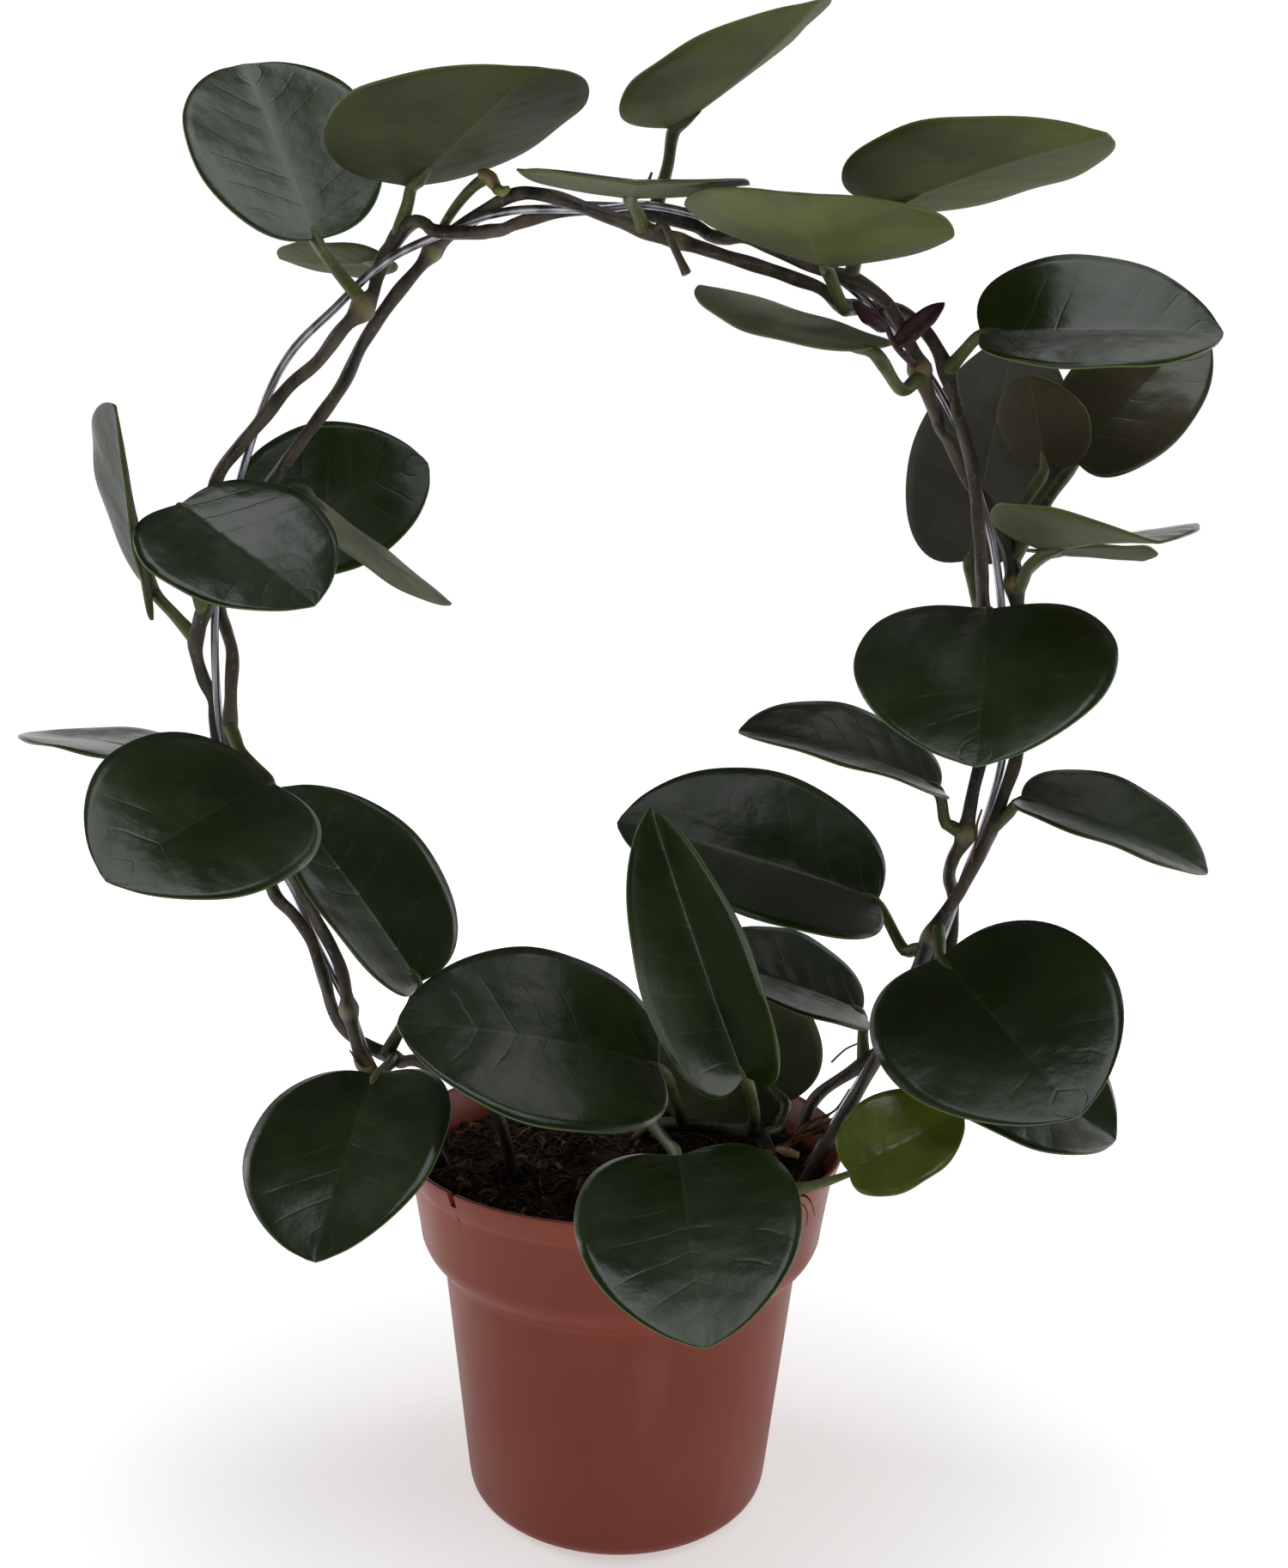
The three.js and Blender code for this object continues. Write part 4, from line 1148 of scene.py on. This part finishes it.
# %% Finish of the coir
def coir_finish(name, dark, light, scale):
    """Crumbs of two browns, darker in patches, with a strong bump."""
    f = Finish(name, Specular_IOR_Level=0.25)
    crumb = f.noise(scale, 8)
    patch = f.noise(60, 3)
    color = f.mix(f.ramp(crumb, 0.38, 0.66), dark, light)
    color = f.mix(f.times(f.ramp(patch, 0.5, 0.75), 0.5), color, dark)
    f.bump(crumb, 0.9, 0.0015)
    return f.done(color, 0.9)


COIR = coir_finish("coir", (0.006, 0.004, 0.003, 1), (0.055, 0.026, 0.015, 1), 420)
COIR_PALE = coir_finish("coir_fibre", (0.03, 0.016, 0.009, 1), (0.14, 0.075, 0.038, 1), 300)
print("coir finishes:", COIR.name, COIR_PALE.name)

# %% The body of the filling
SOIL_LEVEL = 90
SOIL_EDGE = 55.3
SOIL_EDGE_HEIGHT = 89.5
SOIL_BASE = 2.4
SOIL_RINGS = 36
SOIL_SIDES = 96
SOIL_WALL = [(46, 67), (39.2, 7), (36, SOIL_BASE)]


def soil_height(x, y):
    """Height of the surface: broad lumps with finer ones on them."""
    lumps = np.sin(x * 0.23 + 1.1) * np.cos(y * 0.19) + 0.6 * np.sin(x * 0.41 - y * 0.37)
    fine = 0.5 * np.sin(x * 1.1 + 2 * np.sin(y * 0.7)) * np.cos(y * 1.3 + np.sin(x * 0.9))
    return SOIL_LEVEL + 1.1 * lumps + 0.8 * fine


def filling():
    """Points and faces: rings from the base up the wall, then inwards over the surface."""
    angle = np.arange(SOIL_SIDES) * 2 * math.pi / SOIL_SIDES
    rings = [[(r * math.cos(a), r * math.sin(a), h) for a in angle] for r, h in SOIL_WALL[::-1]]
    for radius in SOIL_EDGE * (1 - np.linspace(0, 1, SOIL_RINGS, endpoint=False)):
        x, y = radius * np.cos(angle), radius * np.sin(angle)
        flat = radius > SOIL_EDGE - 0.5
        z = np.full(SOIL_SIDES, SOIL_EDGE_HEIGHT) if flat else soil_height(x, y)
        rings.append(np.stack([x, y, z], axis=1))
    points = np.vstack(rings + [[(0, 0, soil_height(0, 0))], [(0, 0, SOIL_BASE)]])
    last = (len(rings) - 1) * SOIL_SIDES
    faces = []
    for j in range(SOIL_SIDES):
        k = (j + 1) % SOIL_SIDES
        for start in range(0, last, SOIL_SIDES):
            above = start + SOIL_SIDES
            faces.append((start + j, start + k, above + k, above + j))
        faces.append((last + j, last + k, len(points) - 2))
        faces.append((k, j, len(points) - 1))
    return points, faces


soil = add_piece("coir_filling", *filling(), [COIR])
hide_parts("soil")
print("points of the filling:", len(soil.data.vertices))

# %% [markdown]
# ## Loose fibres
# Coir sheds fibres, which lie over each other in every direction, and thicker red-brown chips of
# husk lie among them. Particles could strew them, but the exported model needs real meshes, so a
# loop with a fixed seed lays thin bars on the surface. Each starts at a random place and turns a
# little at every step, and none leaves the pot.

# %% Strew fibres and chips
FIBRE_REACH = 53.5
FIBRE_START = 53
FIBRE_POINTS = 6
FIBRE_SIDES = 4
FIBRE_SINK = 0.4


def strewn_fibres(seed, count, longest, thick, lift):
    """Curved bars lying on the filling, each with a random heading and curl."""
    rng = np.random.default_rng(seed)
    parts = []
    for _ in range(count):
        r = FIBRE_START * math.sqrt(rng.uniform(0.01, 1))
        a = rng.uniform(0, 2 * math.pi)
        heading = rng.uniform(0, 2 * math.pi)
        curl = rng.normal(0, 0.25)
        length = rng.uniform(0.3, 1) * longest
        arch = rng.uniform(0, lift)
        spot = np.array([r * math.cos(a), r * math.sin(a)])
        path = []
        for k in range(FIBRE_POINTS):
            share = k / (FIBRE_POINTS - 1)
            spot = spot * min(1, FIBRE_REACH / np.linalg.norm(spot))
            height = soil_height(*spot) - FIBRE_SINK + arch * math.sin(math.pi * share)
            path.append((spot[0], spot[1], height))
            spot = spot + length / FIBRE_POINTS * np.array([math.cos(heading), math.sin(heading)])
            heading += curl
        parts.append(bar(path, rng.uniform(0.5, 1) * thick, FIBRE_SIDES))
    return join(parts)


# Each has its seed, how many, the greatest length and radius, how high they arch, and a finish.
STREWN = {
    "fibres_dark": (11, 700, 16, 0.45, 2.5, COIR),
    "fibres_pale": (12, 420, 22, 0.3, 4.5, COIR_PALE),
    "chips_rust": (13, 150, 12, 1.1, 1.4, RUST),
}
for name, (*facts, finish) in STREWN.items():
    piece = add_piece(name, *strewn_fibres(*facts), [finish])
    print("faces of", name + ":", len(piece.data.polygons))

# %% [markdown]
# ## The floor
# The photograph has plain white round the plant. A white floor alone turns grey away from the
# lamps, and its far edge shows. This one glows softly, more with distance, so it fades into the
# white behind and still takes the pot's soft shadow.

# %% Lay the floor
FLOOR_REACH = 3.0
FLOOR_DROP = 0.0002
WHITE = (1, 1, 1, 1)

floor_finish = Finish("floor", Specular_IOR_Level=0.1, Base_Color=(0.9, 0.9, 0.9, 1),
                      Roughness=0.9, Emission_Color=WHITE)
where = floor_finish.node("TexCoord").outputs["Object"]
away = floor_finish.node("VectorMath", {0: where}, operation="LENGTH").outputs["Value"]
glow = floor_finish.ramp(away, 0.05, 0.35, 0.5, 0.9)
floor_finish.feed(floor_finish.shader.inputs["Emission Strength"], glow)
floor_mesh = bpy.data.meshes.new("floor")
corners = [(x * FLOOR_REACH, y * FLOOR_REACH, 0) for x, y in ((-1, -1), (1, -1), (1, 1), (-1, 1))]
floor_mesh.from_pydata(corners, [], [(0, 1, 2, 3)])
floor_mesh.materials.append(floor_finish.material)
floor = bpy.data.objects.new("floor", floor_mesh)
floor.location.z = -FLOOR_DROP
bpy.context.collection.objects.link(floor)
print("floor's width in metres:", 2 * FLOOR_REACH)

# %% [markdown]
# ## Lamps
# The leaves that face up have one broad bluish gloss, so the main lamp is a wide soft one overhead
# and slightly in front. A weak one behind and one at each side lift the rims of the leaves and of
# the pot. Their places here are in metres and their power is in watts.

# %% Hang the lamps
def soft_light(name, place, aim, size, power, color=(1, 1, 1)):
    """A rectangular lamp at a place, turned to its aim."""
    data = bpy.data.lights.new(name, "AREA")
    data.shape = "RECTANGLE"
    data.size, data.size_y = size
    data.energy = power
    data.color = color
    light = bpy.data.objects.new(name, data)
    light.location = place
    light.rotation_euler = (Vector(aim) - Vector(place)).to_track_quat("-Z", "Y").to_euler()
    bpy.context.collection.objects.link(light)
    return light


SIDE_LAMP = {"aim": (0, 0, 0.2), "size": (0.5, 0.9), "power": 3}
lamps = [
    soft_light("overhead", (0.0, -0.22, 1.15), (0, 0, 0.2), (0.9, 0.75), 4.6, (0.96, 0.99, 1.0)),
    soft_light("behind", (0.42, 0.42, 1.1), (0, 0, 0.15), (0.4, 0.4), 0.5),
    soft_light("left", (-1.1, 0.35, 0.5), **SIDE_LAMP),
    soft_light("right", (1.1, 0.35, 0.5), **SIDE_LAMP),
]
print("lamps:", len(lamps), "with", round(sum(lamp.data.energy for lamp in lamps), 1), "W in all")

# %% [markdown]
# ## The surround
# The sky is the backdrop and a light at once. It is white near the horizon, where the photograph
# shows white, and almost dark above, so that only the lamp shapes the gloss. It is also dim on the
# camera's side, which keeps the leaves near black.

# %% Set the surround
LEAST_GLOW = 0.04

world = bpy.data.worlds.new("surround")
world.use_nodes = True
sky = Nodes(world.node_tree)
direction = sky.node("SeparateXYZ", {0: sky.node("TexCoord").outputs["Generated"]}).outputs
low = sky.ramp(direction["Z"], 0.32, 0.42, 1.0, 0.05)
far_side = sky.ramp(direction["Y"], -0.7, 0.2, 0.12, 1.0)
backdrop = world.node_tree.nodes["Background"]
sky.feed(backdrop.inputs["Strength"], sky.plus(sky.times(low, far_side), LEAST_GLOW))
backdrop.inputs["Color"].default_value = WHITE
bpy.context.scene.world = world
bpy.context.scene.view_settings.view_transform = "Standard"
print("nodes in the surround:", len(world.node_tree.nodes))

# %% [markdown]
